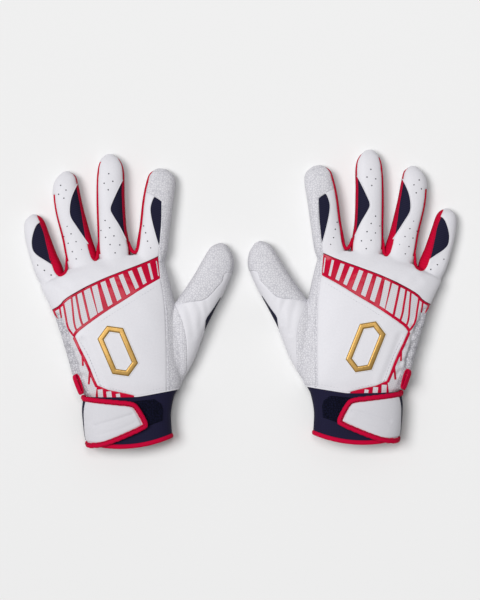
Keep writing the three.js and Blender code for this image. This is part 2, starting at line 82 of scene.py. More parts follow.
# Rings of a finger's solid and points round each, and points along the cuff's mouth
FINGER_RINGS = 80
FINGER_FACETS = 48
MOUTH_POINTS = 60
# The lattice on which the skin is joined, its smoothing, and where the knuckles are evened: the span along
# the hand, the length over which it fades, and the rise of the skin's normal where it starts, with its range
VOXEL = 0.85
SMOOTHING_PASSES = 10
KNUCKLE_PASSES = 80
KNUCKLE_SPAN = (84.0, 130.0)
KNUCKLE_FADE = 10.0
KNUCKLE_TILT = (0.75, 0.2)
# How far a vertex goes towards its neighbours' mean, and then back out
SMOOTH_IN, SMOOTH_OUT = 0.55, -0.5
# How far the hand runs on past the cuff's mouth before it is cut, and where the cut lies
MOUTH_RUN = 10.0
MOUTH_INSET = 0.6
# Slow waves of the leather: their height, their run across and along, how far and over what run they bend,
# where they start, and finer ones with their share of the height
LEATHER_WAVE = 0.12
WAVE_RUN = (7.3, 9.1)
WAVE_BEND = (0.4, 11.0)
WAVE_START = 1.3
FINE_WAVE_RUN = (4.1, 6.3)
FINE_WAVE_SHARE = 0.6
# A fold's crest, as a share of its depth and at a share of its width
CREST_SHARE = 0.45
CREST_PLACE = 1.7
# The relief comes in over a height above the floor and over the rise of the skin's normal
RELIEF_HEIGHT = (3.0, 5.0)
RELIEF_TILT = (0.1, 0.3)
# Half the length of finger over which it bends
BEND_HALF = 9.0
# Further off than any part of a glove, and just above the floor
FAR = 300.0
FLOOR_GAP = 0.02
# Where a point starts when it is let down on the skin, and where the nearest skin is sought if it meets none
DROP_HEIGHT = 90.0
SEEK_HEIGHT = 10.0
# What a divisor doesn't fall below, for lengths and for areas, and the steps in a millimetre in which points
# are the same
TINY = 1e-9
TINY_AREA = 1e-12
MERGE_STEPS = 1e4
# Points round a small pad, and the reach and height of its rings as shares
PAD_FACETS = 8
PAD_LEVEL_SHARES = ((0.0, 1.0), (0.6, 0.8), (1.0, 0.0), (0.6, -0.8), (0.0, -1.0))


class Side(Enum):
    """Which glove of the pair a piece belongs to."""

    LEFT = "left"
    RIGHT = "right"


class Zone(Enum):
    """The part of a glove that a piece moves with."""

    HAND = "hand"
    LITTLE = "little"
    RING = "ring"
    MIDDLE = "middle"
    INDEX = "index"
    THUMB = "thumb"
    STRAP = "strap"
    TAB = "tab"


@dataclass(frozen=True)
class Finger:
    """One finger or the thumb: its place in plan, its size and its sections.

    Attributes:
        base: Shares of the hand's width and length where the finger's axis starts.
        lean: Degrees from +Y towards the little finger.
        joint: Share of the length at which the finger bends.
        cut: Share of the length from which its pieces are its own.
        sections: Rows of along, left, right and height shares.
        reach: Share of the width within which skin beside the axis belongs to it.
    """

    zone: Zone
    base: tuple[float, float]
    lean: float
    length: float
    width: float
    thickness: float
    joint: float
    cut: float
    sections: tuple[tuple[float, float, float, float], ...]
    reach: float = 0.8

    @property
    def forward(self) -> np.ndarray:
        """The direction of the finger in plan."""
        turn = math.radians(self.lean)
        return np.array([-math.sin(turn), math.cos(turn)])

    @property
    def origin(self) -> np.ndarray:
        """The start of the finger's axis, in millimetres."""
        return np.array(self.base) * (HAND_WIDTH, HAND_LENGTH)

    def plan(self, shares: np.ndarray) -> np.ndarray:
        """Plan points of shares across the width and along the length."""
        shares = np.atleast_2d(np.asarray(shares, float))
        across = np.array([self.forward[1], -self.forward[0]])
        return self.origin + shares[:, :1] * self.width * across + shares[:, 1:] * self.length * self.forward

    def measure(self, points: np.ndarray) -> tuple[np.ndarray, np.ndarray]:
        """How far plan points lie across and along the finger, in millimetres."""
        offset = points[:, :2] - self.origin
        across = np.array([self.forward[1], -self.forward[0]])
        return offset @ across, offset @ self.forward

    def top(self, along: np.ndarray) -> np.ndarray:
        """Height of the finger's back at lengths along it, straight between its sections."""
        rows = np.array(self.sections)
        return np.interp(along / self.length, rows[1:, 0], rows[1:, 3]) * self.thickness


FINGERS = (
    Finger(Zone.LITTLE, (-0.596, 0.872), 17.1, 51.5, 21.0, 15.5, 0.5, 0.1, (
        (-0.45, -0.3, 0.3, 0.8), (0, -0.57, 0.48, 1.06), (0.3, -0.61, 0.41, 1), (0.6, -0.585, 0.365, 0.98),
        (0.82, -0.5, 0.335, 0.9), (0.93, -0.38, 0.235, 0.76), (0.995, -0.15, 0.04, 0.5))),
    Finger(Zone.RING, (-0.364, 0.953), 9.2, 76.8, 23.5, 17.0, 0.56, 0.1, (
        (-0.3, -0.3, 0.3, 0.8), (0, -0.52, 0.56, 1.06), (0.3, -0.57, 0.44, 1), (0.6, -0.65, 0.34, 0.98),
        (0.82, -0.6, 0.3, 0.9), (0.93, -0.43, 0.255, 0.76), (0.995, -0.15, 0.04, 0.5))),
    Finger(Zone.MIDDLE, (-0.121, 0.997), 2.9, 85.0, 24.0, 17.5, 0.46, 0.1, (
        (-0.3, -0.3, 0.3, 0.8), (0, -0.52, 0.56, 1.06), (0.3, -0.535, 0.465, 1), (0.6, -0.51, 0.46, 0.98),
        (0.82, -0.445, 0.485, 0.9), (0.93, -0.33, 0.37, 0.76), (0.995, -0.11, 0.12, 0.5))),
    Finger(Zone.INDEX, (0.152, 1.027), -8.4, 70.2, 25.0, 17.5, 0.5, 0.12, (
        (-0.3, -0.3, 0.3, 0.8), (0, -0.475, 0.52, 1.06), (0.3, -0.48, 0.515, 1), (0.6, -0.51, 0.49, 0.98),
        (0.82, -0.475, 0.485, 0.9), (0.93, -0.39, 0.4, 0.76), (0.995, -0.14, 0.14, 0.5))),
    Finger(Zone.THUMB, (0.456, 0.547), -23.4, 67.0, 31.0, 20.0, 0.5, 0.27, (
        (-0.9, -0.75, 0.42, 0.9), (-0.5, -0.72, 0.53, 1.02), (-0.1, -0.6, 0.5, 1.08),
        (0.15, -0.48, 0.515, 1.04), (0.45, -0.355, 0.55, 1), (0.74, -0.28, 0.53, 0.92),
        (0.9, -0.22, 0.37, 0.76), (0.99, -0.05, 0.12, 0.5)),
        reach=0.62),
)
FINGER_OF = {finger.zone: finger for finger in FINGERS}

# Sections of the hand: left x and y, right x and y, height and bow, as shares
HAND_ROWS = np.array([
    [-0.29, -0.392, 0.322, -0.333, 0.95, -0.045], [-0.315, -0.17, 0.312, -0.17, 0.92, -0.015],
    [-0.32, -0.045, 0.332, -0.045, 0.93, 0], [-0.38, 0, 0.35, 0, 0.95, 0], [-0.425, 0.089, 0.385, 0.08, 1, 0],
    [-0.478, 0.273, 0.36, 0.26, 1.05, 0], [-0.538, 0.47, 0.352, 0.5, 1.05, 0],
    [-0.605, 0.64, 0.33, 0.68, 1, 0.01], [-0.672, 0.77, 0.28, 0.88, 0.86, 0.05],
    [-0.66, 0.8, 0.24, 1, 0.62, 0.085],
])

# Seam lines on the back of the hand, in millimetres
STRIPE_TOP = ((-63.2, 67.3), (-56.8, 70.7), (-52.8, 75.9), (-44.2, 81.1), (-32.7, 87.4), (-18.9, 93.7),
              (-3.9, 99.5), (12.2, 105.8), (23.1, 111.0))
STRIPE_BOTTOM = ((24.9, 93.1), (11.0, 85.1), (-3.9, 75.3), (-18.9, 66.1), (-32.7, 56.3), (-41.9, 49.4),
                 (-44.2, 45.4))
FLANK_SEAM = ((-43.6, 44.8), (-39.0, 35.0), (-32.7, 22.4), (-29.2, 13.2), (-25.8, 5.7))
WEDGE_SEAM = ((-16.4, 2.0), (-8.2, 0.4), (0.5, -1.4), (8.0, -3.4))
FLANK_EDGE = ((-63.0, 70.0), (-56.0, 60.7), (-48.6, 42.6), (-42.0, 24.6), (-37.5, 9.8), (-28.7, -8.0))
THUMB_SEAM = ((36.2, 73.8), (39.4, 67.2), (44.3, 54.9), (47.1, 38.5), (46.7, 13.9), (41.0, 3.3))
WRIST_SEAM = ((-45.4, -3.8), (0.5, -3.8), (6.6, -3.1), (16.4, -1.4), (45.4, 4.1))

# The pebbled strip from the index finger's tip down to the wrist, in millimetres
STRIP_EDGE = ((3.0, 168.0), (9.8, 164.9), (13.0, 163.7), (20.3, 160.3), (26.0, 156.7), (26.4, 156.0),
              (26.2, 139.4), (25.3, 128.7), (24.8, 122.4), (23.8, 115.2), (23.5, 110.9), (24.6, 95.9),
              (27.0, 83.6), (28.7, 71.3), (29.5, 59.0), (29.9, 42.6), (30.3, 26.0), (30.3, 0.8))
# Points that close the outlines of which the seam lines are a part, in millimetres
BACK_CLOSING = ((8.5, -7.0), (34.0, -5.0))
STRIP_FOOT = ((47.0, 0.8),)
STRIP_CLOSING = ((40.0, 95.0), (60.0, 130.0), (60.0, 230.0), (-3.0, 230.0), (-3.0, 171.0))
STRIPE_CLOSING = ((8.5, -7.0), (-97.0, -7.0), (-97.0, 66.8))
FLANK_CLOSING = ((-120.0, -8.0), (-120.0, 70.0))
KNUCKLE_START = ((-150.0, 66.8),)
KNUCKLE_CLOSING = ((26.0, 111.5), (26.0, 300.0), (-150.0, 300.0))
PATCH_CLOSING = ((105.0, 150.0), (60.0, 150.0), (30.0, 90.0))
BAND_CLOSING = ((-47.0, 48.0), (-54.0, 55.0), (-62.0, 62.0))
WEDGE_START = ((-26.3, 6.7),)
WEDGE_CLOSING = ((8.5, -7.0), (-28.0, -7.0), (-27.2, 0.0))
STRAP_FAR_LEFT = -60.0
# The pebbled strip is the back panel's edge below this y, and the thumb's seam stays at this x above its top
STRIP_LOW_END = 92.0
THUMB_SEAM_TOP = 37.0
# How far the thumb's base reaches under the strip
BASE_OVERLAP = 0.5

# Stretch gussets on the fingers, in millimetres
GUSSETS = {
    Zone.LITTLE: ((-74.0, 139.5), (-76.9, 137.2), (-78.9, 132.4), (-80.4, 126.5), (-80.8, 121.7),
                  (-80.1, 116.8), (-78.1, 113.5), (-74.1, 110.3), (-70.2, 108.1), (-63.8, 103.9),
                  (-61.4, 104.6), (-66.6, 124.8), (-72.3, 140.0)),
    Zone.RING: ((-43.4, 170.6), (-46.7, 163.1), (-48.6, 157.3), (-49.4, 151.5), (-49.4, 145.8),
                (-48.1, 141.9), (-44.2, 136.2), (-40.9, 131.2), (-34.1, 121.3), (-31.5, 121.7),
                (-36.1, 149.7), (-41.3, 170.9)),
    Zone.MIDDLE: ((-6.2, 173.9), (-13.8, 157.3), (-16.7, 149.7), (-13.9, 144.4), (-8.1, 135.3), (-3.1, 124.6),
                  (-0.3, 124.7), (-1.9, 157.6), (-4.2, 174.0)),
    Zone.INDEX: ((20.3, 160.3), (19.2, 159.2), (17.9, 156.1), (16.6, 151.3), (16.8, 146.5), (17.9, 140.5),
                 (19.7, 133.2), (21.9, 125.3), (24.0, 118.6), (28.0, 118.0), (28.5, 157.0)),
}
OPEN_CORNERS = {Zone.LITTLE: 10, Zone.RING: 9, Zone.MIDDLE: 6, Zone.INDEX: 9}

# What is red between two fingers, seen from above, in millimetres
WEBS = {
    (Zone.LITTLE, Zone.RING): (
        (-76.2, 145.1), (-73.7, 139.9), (-70.1, 132.1), (-68.3, 123.7), (-65.9, 112.8), (-63.5, 104.4),
        (-61.7, 99.0), (-59.3, 95.8), (-56.3, 94.5), (-52.7, 96.2), (-50.9, 100.2), (-51.2, 104.4),
        (-52.7, 110.4), (-54.5, 118.8), (-56.1, 127.3), (-57.5, 134.5), (-59.9, 142.9), (-62.0, 150.1),
        (-63.1, 157.4), (-63.4, 162.1)),
    (Zone.RING, Zone.MIDDLE): (
        (-45.8, 180.2), (-43.3, 170.6), (-41.9, 163.3), (-39.9, 153.8), (-38.3, 144.1), (-36.8, 134.5),
        (-35.3, 124.9), (-33.8, 117.7), (-32.0, 111.6), (-30.4, 108.6), (-28.3, 107.3), (-26.2, 108.6),
        (-25.4, 112.8), (-25.7, 120.0), (-26.2, 129.6), (-26.7, 139.3), (-27.2, 148.9), (-27.5, 158.5),
        (-27.5, 168.2), (-27.1, 177.8), (-26.2, 185.0), (-25.5, 189.2)),
    (Zone.MIDDLE, Zone.INDEX): (
        (-9.3, 193.4), (-6.7, 188.6), (-5.7, 182.6), (-5.7, 174.2), (-5.2, 165.7), (-5.2, 158.5),
        (-4.6, 148.9), (-3.9, 139.3), (-3.4, 129.6), (-2.1, 122.4), (-0.3, 117.0), (2.0, 114.0), (4.1, 113.2),
        (6.0, 114.2), (7.5, 118.2), (8.2, 123.7), (9.0, 134.5), (10.2, 146.5), (11.4, 156.1), (13.2, 167.0),
        (15.3, 175.4), (17.3, 182.0)),
}
# On the two sides that face each other: how high the red knit reaches, as shares of the fingers' own tops,
# and how far up each finger's axis it starts
WEB_HEIGHT_SHARES = (0.78, 0.83)
WEB_STARTS = (1.0, 3.0)
WEB_MARGIN = 0.45
PATCH_SEAM = ((36.0, 71.0), (39.2, 71.8), (44.5, 73.2), (49.7, 74.1), (60.6, 75.0), (66.1, 79.5),
              (71.5, 85.9), (75.6, 90.5), (76.3, 94.1), (77.4, 97.3), (80.0, 98.0), (92.0, 98.0))
INSERT_OUTLINE = ((0.52, 0.38), (0.47, 0.24), (0.4, 0.094), (0.4, 0.053), (0.5, -0.1), (0.8, -0.1),
                  (0.8, 0.38))
# The white cord sewn into the wrist seam, from the wedge to the thumb's side, in millimetres
PIPING_LINE = ((4.0, -3.0), *WRIST_SEAM[2:], (49.0, 5.0))

# The closure on the cuff, in millimetres
STRAP_EDGE = ((-44.0, -2.2), (-38.4, -2.7), (-25.8, -4.4), (-10.0, -6.0), (4.1, -7.3), (8.7, -13.0),
              (15.1, -26.3), (12.2, -30.3), (-16.6, -43.5), (-25.8, -45.2), (-33.8, -44.7), (-38.0, -43.8))
LOOP_OUTLINE = ((-10.8, -9.5), (7.1, -6.7), (24.8, -5.0), (30.0, -22.2), (20.3, -25.1), (6.6, -31.2),
                (-10.8, -34.4))
STRAP_CREASES = ((((-27.9, -26.9), (-12.3, -22.3), (2.7, -17.6)), 0.45),
                 (((-24.6, -34.4), (-8.2, -29.7), (4.2, -24.3)), 0.22))
HOOK_OUTLINE = ((-13.0, -15.0), (0.5, -15.0), (5.9, -25.3), (-2.2, -28.9), (-13.0, -32.2))

# Slots in the red film: start, end and width, in millimetres
SLOTS = ((21.7, 107.4, 23.8, 94.3, 0.9), (15.2, 106.6, 18.9, 91.8, 2.0), (7.4, 103.3, 13.1, 87.7, 3.3),
         (0.0, 100.0, 7.4, 82.8, 3.3), (-7.4, 96.8, 0.0, 78.7, 3.7), (-14.8, 94.3, -7.4, 73.8, 4.1),
         (-22.1, 91.8, -14.8, 69.7, 4.3), (-28.7, 88.6, -23.0, 64.8, 4.7), (-36.1, 85.3, -28.7, 59.9, 5.1))
SLOTS_END = ((-32.7, 87.4), (-25.5, 62.4))
# Thin bars of film left of the slots, the line up the flank seam and its tails: widths and points
BARS = (
    (2.0, ((-38.4, 83.9), (-32.1, 57.5))),
    (1.8, ((-43.6, 80.5), (-41.3, 68.4), (-39.6, 59.2), (-37.3, 53.5))),
    (1.6, ((-47.1, 77.6), (-46.1, 68.4), (-44.8, 54.6), (-41.9, 48.8))),
    (1.7, ((-54.0, 73.6), (-52.2, 63.8), (-50.5, 53.5), (-47.1, 48.3), (-43.6, 44.8))),
    (1.5, ((-56.8, 69.0), (-55.7, 61.5))), (1.7, ((-62.2, 66.7), (-59.1, 59.8))),
    (2.4, ((-44.7, 44.2), (-40.1, 34.4), (-33.8, 21.8), (-30.3, 12.8), (-26.9, 5.4))),
    (1.6, ((-38.4, 32.7), (-37.8, 22.4))), (1.7, ((-32.1, 17.8), (-33.0, 7.4))),
)
WEDGE_SLOTS = ((-23.8, 2.6, -23.4, -4.9, 4.1), (-16.8, 1.0, -16.0, -5.7, 4.1), (-9.4, -0.9, -8.6, -5.7, 3.3))

# Soft folds in the leather: the line of each, in millimetres, with its half-width and depth
FOLDS = (
    (((46.7, 70.1), (50.0, 60.4), (51.8, 46.3)), 2.4, 0.3),
    (((54.9, 73.3), (58.9, 66.0), (57.8, 54.8)), 2.0, 0.25),
    (((62.5, 74.2), (63.3, 66.6)), 1.8, 0.2),
    (((-57.4, 62.7), (-53.5, 52.2), (-51.2, 44.9)), 1.9, 1.3),
    (((-52.7, 52.1), (-47.9, 43.0), (-46.6, 35.6)), 1.7, 1.1),
    (((-49.6, 36.4), (-44.0, 27.3), (-42.7, 17.8)), 1.8, 1.2),
    (((-60.9, 50.8), (-54.5, 46.7), (-48.1, 49.6)), 1.8, 1.0),
    (((-54.9, 36.3), (-50.6, 30.0), (-43.4, 33.8)), 1.8, 1.1),
    (((-50.0, 22.0), (-43.0, 24.0), (-37.0, 20.0)), 1.6, 0.6),
    (((-44.0, 12.0), (-38.0, 15.0), (-34.0, 10.0)), 1.6, 0.5),
    (((-52.4, 86.7), (-46.6, 83.0), (-37.7, 85.6)), 4.0, 0.4),
    (((-71.8, 106.6), (-65.6, 98.8), (-59.4, 92.4)), 3.5, 0.4),
    (((-23.3, 107.6), (-14.8, 101.7), (-4.6, 102.7)), 4.0, 0.4),
    (((37.7, 52.8), (41.0, 34.4), (41.8, 17.7)), 2.0, 0.4),
    (((-37.5, 42.0), (-32.0, 28.0), (-26.5, 15.0), (-22.5, 6.0)), 2.8, 0.5),
)

PERFORATIONS = {
    Zone.MIDDLE: ((-17.2, 178.8), (-20.9, 171.0), (-13.9, 172.6), (-17.6, 165.6), (-20.1, 140.5),
                  (-16.4, 134.5), (-23.4, 132.4), (-12.9, 127.9), (-19.7, 126.7), (-16.0, 120.8),
                  (-8.2, 120.5), (-11.9, 114.0)),
    Zone.RING: ((-56.6, 169.3), (-52.2, 165.4), (-58.2, 162.0), (-53.9, 158.8), (-51.2, 135.7),
                (-48.0, 129.6), (-53.7, 127.5), (-43.9, 123.2), (-50.3, 121.9), (-39.4, 116.8),
                (-46.9, 115.0)),
    Zone.INDEX: ((11.5, 136.1), (13.1, 130.4), (14.6, 123.6)),
    Zone.HAND: ((-75.4, 104.0), (-69.9, 99.7), (-64.4, 95.9), (-43.7, 109.1), (17.1, 118.1)),
}
STITCH_LINES = {
    Zone.HAND: (
        ((25.0, 120.5), (26.4, 95.9), (28.9, 83.6), (30.9, 59.0), (31.8, 42.6), (32.1, 2.3)),
        ((-40.6, 43.6), (-31.2, 52.1), (-16.4, 62.8), (0.0, 72.6), (16.4, 83.2), (24.0, 87.8)),
        ((-40.6, 42.6), (-34.4, 32.8), (-28.7, 19.7), (-23.8, 6.6)),
        ((-23.0, 5.7), (-8.2, 1.9), (6.6, -0.4), (29.5, 4.4)),
        ((39.0, 72.0), (44.6, 74.5), (52.0, 76.0)),
    ),
    Zone.THUMB: (
        ((55.0, 77.0), (60.5, 78.2), (64.6, 81.6), (68.7, 85.0), (72.2, 89.0), (73.8, 94.5), (76.4, 99.6),
         (81.0, 101.0)),
        ((55.0, 78.8), (59.5, 79.9), (63.4, 83.1), (67.4, 86.5), (70.6, 90.2), (72.3, 95.4), (75.2, 101.2),
         (80.0, 102.8)),
    ),
    Zone.INDEX: (((26.6, 152.3), (26.4, 132.8), (25.6, 124.0)),),
}


def unit(vectors: np.ndarray) -> np.ndarray:
    """Vectors made of length one."""
    return vectors / np.linalg.norm(vectors, axis=-1, keepdims=True)


def powered(value: np.ndarray, power: float) -> np.ndarray:
    """The power of a value's size, with its sign kept."""
    return np.sign(value) * np.abs(value) ** power


def least(*values: np.ndarray) -> np.ndarray:
    """The least of several distances at each point, which is positive inside all their outlines."""
    return np.minimum.reduce(values)


def most(*values: np.ndarray) -> np.ndarray:
    """The most of several distances at each point, which is positive inside any of their outlines."""
    return np.maximum.reduce(values)


def rounded_edge(distance: np.ndarray, width: float) -> np.ndarray:
    """Height of a turned border: a quarter circle from 0 at the border to 1 at a width inside it."""
    turn = 1 - np.clip(distance / width, 0, 1)
    return np.sqrt(np.maximum(1 - turn ** 2, 0))


def smooth_line(points: Line, passes: int = 2, closed: bool = False) -> np.ndarray:
    """Rounds a line's corners: each pass puts two points on every leg, a quarter of it from either end.

    Args:
        points: Points of the line.
        passes: Number of passes.
        closed: Whether the line joins its own start.

    Returns:
        The rounded line.
    """
    points = np.asarray(points, float)
    for _ in range(passes):
        following = np.roll(points, -1, axis=0) if closed else points[1:]
        here = points if closed else points[:-1]
        quarters = np.stack([0.75 * here + 0.25 * following, 0.25 * here + 0.75 * following], axis=1)
        quarters = quarters.reshape(-1, points.shape[1])
        points = quarters if closed else np.vstack([points[:1], quarters, points[-1:]])
    return points


def beside(line: np.ndarray, distance: float) -> np.ndarray:
    """A line moved sideways in plan by a length, to the right of its own direction.

    Args:
        line: Points of the line.
        distance: How far it moves, negative to the left.

    Returns:
        The moved line.
    """
    ahead = unit(np.gradient(line, axis=0))
    return line + distance * np.stack([ahead[:, 1], -ahead[:, 0]], axis=1)


def resampled(line: np.ndarray, shares: np.ndarray) -> np.ndarray:
    """Points of a line at shares of its running length.

    Args:
        line: Points of the line.
        shares: Shares of its length, from 0 to 1.

    Returns:
        One point for each share.
    """
    run = np.concatenate([[0.0], np.cumsum(np.linalg.norm(np.diff(line, axis=0), axis=1))])
    return np.stack([np.interp(shares * run[-1], run, column) for column in line.T], axis=1)


def summed(index: np.ndarray, values: np.ndarray, count: int) -> np.ndarray:
    """Sums of rows: each row of values is added to the one that its index names.

    Args:
        index: The number of the sum that each row goes to.
        values: Rows of numbers.
        count: How many sums there are.

    Returns:
        One row for each sum.
    """
    return np.stack([np.bincount(index, column, count) for column in values.T], axis=1)


def along_line(line: np.ndarray, pitch: float) -> np.ndarray:
    """Points at an even pitch along a line.

    Args:
        line: Points of the line.
        pitch: Distance between two points.

    Returns:
        The even points.
    """
    length = np.linalg.norm(np.diff(line, axis=0), axis=1).sum()
    return resampled(line, np.linspace(0.0, 1.0, max(2, int(round(length / pitch)) + 1)))


def line_distance(points: np.ndarray, line: Line, closed: bool = False) -> np.ndarray:
    """Least distance from plan points to a line, by the foot of the perpendicular on each leg, kept on it.

    Args:
        points: Points, of which x and y count, in millimetres.
        line: Points of the line.
        closed: Whether the line joins its own start.

    Returns:
        One distance for each point.
    """
    line = np.asarray(line, float)
    ends = np.roll(line, -1, axis=0) if closed else line[1:]
    starts = line if closed else line[:-1]
    best = np.full(len(points), np.inf)
    for start, end in zip(starts, ends):
        leg = end - start
        share = np.clip(((points[:, :2] - start) @ leg) / max(leg @ leg, TINY), 0.0, 1.0)
        best = np.minimum(best, np.linalg.norm(points[:, :2] - start - share[:, None] * leg, axis=1))
    return best


def inside_distance(points: np.ndarray, *lines: Line) -> np.ndarray:
    """Distance to the closed outline that lines make one after another, positive inside it.

    A point is inside where a ray along +X crosses the outline an odd number of times.

    Args:
        points: Points, of which x and y count, in millimetres.
        *lines: The lines that make the outline.

    Returns:
        One distance for each point.
    """
    outline = np.vstack(lines)
    x, y = points[:, 0], points[:, 1]
    odd = np.zeros(len(points), bool)
    for (x0, y0), (x1, y1) in zip(outline, np.roll(outline, -1, axis=0)):
        if y0 == y1:
            continue
        crosses = (y0 > y) != (y1 > y)
        odd ^= crosses & (x < x0 + (y - y0) * (x1 - x0) / (y1 - y0))
    distance = line_distance(points, outline, closed=True)
    return np.where(odd, distance, -distance)


def slot_distance(points: np.ndarray, slot: tuple[float, float, float, float, float]) -> np.ndarray:
    """Distance into a slot with square ends: the least of the room to its sides and to its ends.

    Args:
        points: Points, of which x and y count, in millimetres.
        slot: Both ends of its middle line and its width.

    Returns:
        One distance for each point.
    """
    start, end, width = np.array(slot[:2]), np.array(slot[2:4]), slot[4]
    length = np.linalg.norm(end - start)
    forward = (end - start) / length
    offset = points[:, :2] - start
    along = offset @ forward
    across = np.abs(offset @ np.array([forward[1], -forward[0]]))
    return np.minimum(width / 2 - across, np.minimum(along, length - along))


def ease(value: np.ndarray) -> np.ndarray:
    """A smooth step from 0 to 1: three times the square less twice the cube, over the range from 0 to 1."""
    value = np.clip(value, 0.0, 1.0)
    return value * value * (3.0 - 2.0 * value)


@dataclass
class Shape:
    """A mesh as arrays, in millimetres, with faces of four corners."""

    points: np.ndarray
    faces: np.ndarray
    normals: np.ndarray | None = None

    def vertex_normals(self) -> np.ndarray:
        """Normals of the vertices: sums of the cross products of the faces' diagonals, made of length one."""
        corners = self.points[self.faces]
        across = np.cross(corners[:, 2] - corners[:, 0], corners[:, 3] - corners[:, 1])
        total = summed(self.faces.ravel(), np.repeat(across, 4, axis=0), len(self.points))
        return total / np.maximum(np.linalg.norm(total, axis=1, keepdims=True), TINY_AREA)

    def sides(self) -> np.ndarray:
        """Both ends of the four sides of every face."""
        return np.vstack([self.faces[:, [start, (start + 1) % 4]] for start in range(4)])

    def smoothed(self, passes: int) -> "Shape":
        """Moves each vertex half way to the mean of its neighbours, and back out a little less, on each pass.

        Args:
            passes: Number of passes in and out.

        Returns:
            The smoothed mesh.
        """
        start, end = self.sides().T
        points = self.points.copy()
        count = np.maximum(np.bincount(start, minlength=len(points)), 1)[:, None]
        for step in range(2 * passes):
            mean = summed(start, points[end], len(points)) / count
            points += (SMOOTH_IN if step % 2 == 0 else SMOOTH_OUT) * (mean - points)
        return Shape(points, self.faces)

    def levelled(self, weight: np.ndarray, passes: int) -> "Shape":
        """Moves each vertex's height to the mean of its neighbours', as far as its weight says, on each pass.

        Args:
            weight: Share of the way that each vertex goes.
            passes: Number of passes.

        Returns:
            The evened mesh.
        """
        start, end = self.sides().T
        height = self.points[:, 2].copy()
        count = np.maximum(np.bincount(start, minlength=len(height)), 1)
        for _ in range(passes):
            height += weight * (np.bincount(start, height[end], len(height)) / count - height)
        return Shape(np.column_stack([self.points[:, :2], height]), self.faces)

    def trimmed(self) -> "Shape":
        """The same faces with only the vertices that they use."""
        used, inverse = np.unique(self.faces, return_inverse=True)
        normals = None if self.normals is None else self.normals[used]
        return Shape(self.points[used], inverse.reshape(self.faces.shape), normals)

    def clipped(self, distance: np.ndarray, extra: np.ndarray | None = None) -> tuple["Shape", np.ndarray]:
        """The part where a distance is positive, with an even edge.

        A corner outside a kept face moves to the mean of the places where its edges cross the zero line.

        Args:
            distance: One value for each vertex, positive inside.
            extra: Further columns, one row for each vertex, that are carried along.

        Returns:
            The part, and its rows of the distance and the further columns.
        """
        columns = distance[:, None] if extra is None else np.column_stack([distance, extra])
        rows = np.column_stack([self.points, columns])
        inside = distance > 0
        faces = self.faces[inside[self.faces].any(axis=1)]
        pairs = np.vstack([faces[:, [a, b]] for a, b in ((0, 1), (1, 2), (2, 3), (3, 0), (0, 2), (1, 3))])
        pairs = np.vstack([pairs, pairs[:, ::-1]])
        pairs = pairs[inside[pairs[:, 0]] & ~inside[pairs[:, 1]]]
        near, far = pairs[:, 0], pairs[:, 1]
        share = (distance[near] / np.maximum(distance[near] - distance[far], TINY))[:, None]
        crossing = rows[near] + share * (rows[far] - rows[near])
        count = np.bincount(far, minlength=len(rows))
        moved = count > 0
        rows[moved] = summed(far, crossing, len(rows))[moved] / count[moved][:, None]
        used, inverse = np.unique(faces, return_inverse=True)
        return Shape(rows[used, :3], inverse.reshape(faces.shape)), rows[used, 3:]

    def refined(self, passes: int = 1) -> "Shape":
        """Each face cut into four at the middles of its sides, which halves the spacing on each pass."""
        shape = self
        for _ in range(passes):
            corner = shape.points[shape.faces]
            middle = (corner + np.roll(corner, -1, axis=1)) / 2
            centre = np.repeat(corner.mean(axis=1, keepdims=True), 4, axis=1)
            parts = np.stack([corner, middle, centre, np.roll(middle, 1, axis=1)], axis=2).reshape(-1, 3)
            keys = np.round(parts * MERGE_STEPS).astype(np.int64)
            _, first, inverse = np.unique(keys, axis=0, return_index=True, return_inverse=True)
            shape = Shape(parts[first], inverse.reshape(-1, 4))
        return shape

    def raised(self, normals: np.ndarray, height: np.ndarray) -> "Shape":
        """The same faces with each vertex moved along its normal by a height."""
        return Shape(self.points + normals * height[:, None], self.faces)

    def flipped(self) -> "Shape":
        """The same surface facing the other way."""
        normals = None if self.normals is None else -self.normals
        return Shape(self.points, self.faces[:, ::-1], normals)


def merged(shapes: list[Shape]) -> Shape:
    """Several meshes as one."""
    starts = np.cumsum([0] + [len(shape.points) for shape in shapes[:-1]])
    return Shape(
        np.vstack([shape.points for shape in shapes]),
        np.vstack([shape.faces + start for shape, start in zip(shapes, starts)]),
    )


def grid_faces(rows: int, columns: int, closed: bool = False) -> np.ndarray:
    """Faces of a grid of points, counted row by row, that closes across its columns where asked.

    Args:
        rows: Rows of points.
        columns: Points in a row.
        closed: Whether the last column joins the first.

    Returns:
        Rows of four corners.
    """
    last = columns if closed else columns - 1
    row, column = np.meshgrid(np.arange(rows - 1), np.arange(last), indexing="ij")
    after = (column + 1) % columns
    faces = np.stack([row * columns + column, row * columns + after, (row + 1) * columns + after,
                      (row + 1) * columns + column], axis=-1)
    return faces.reshape(-1, 4)


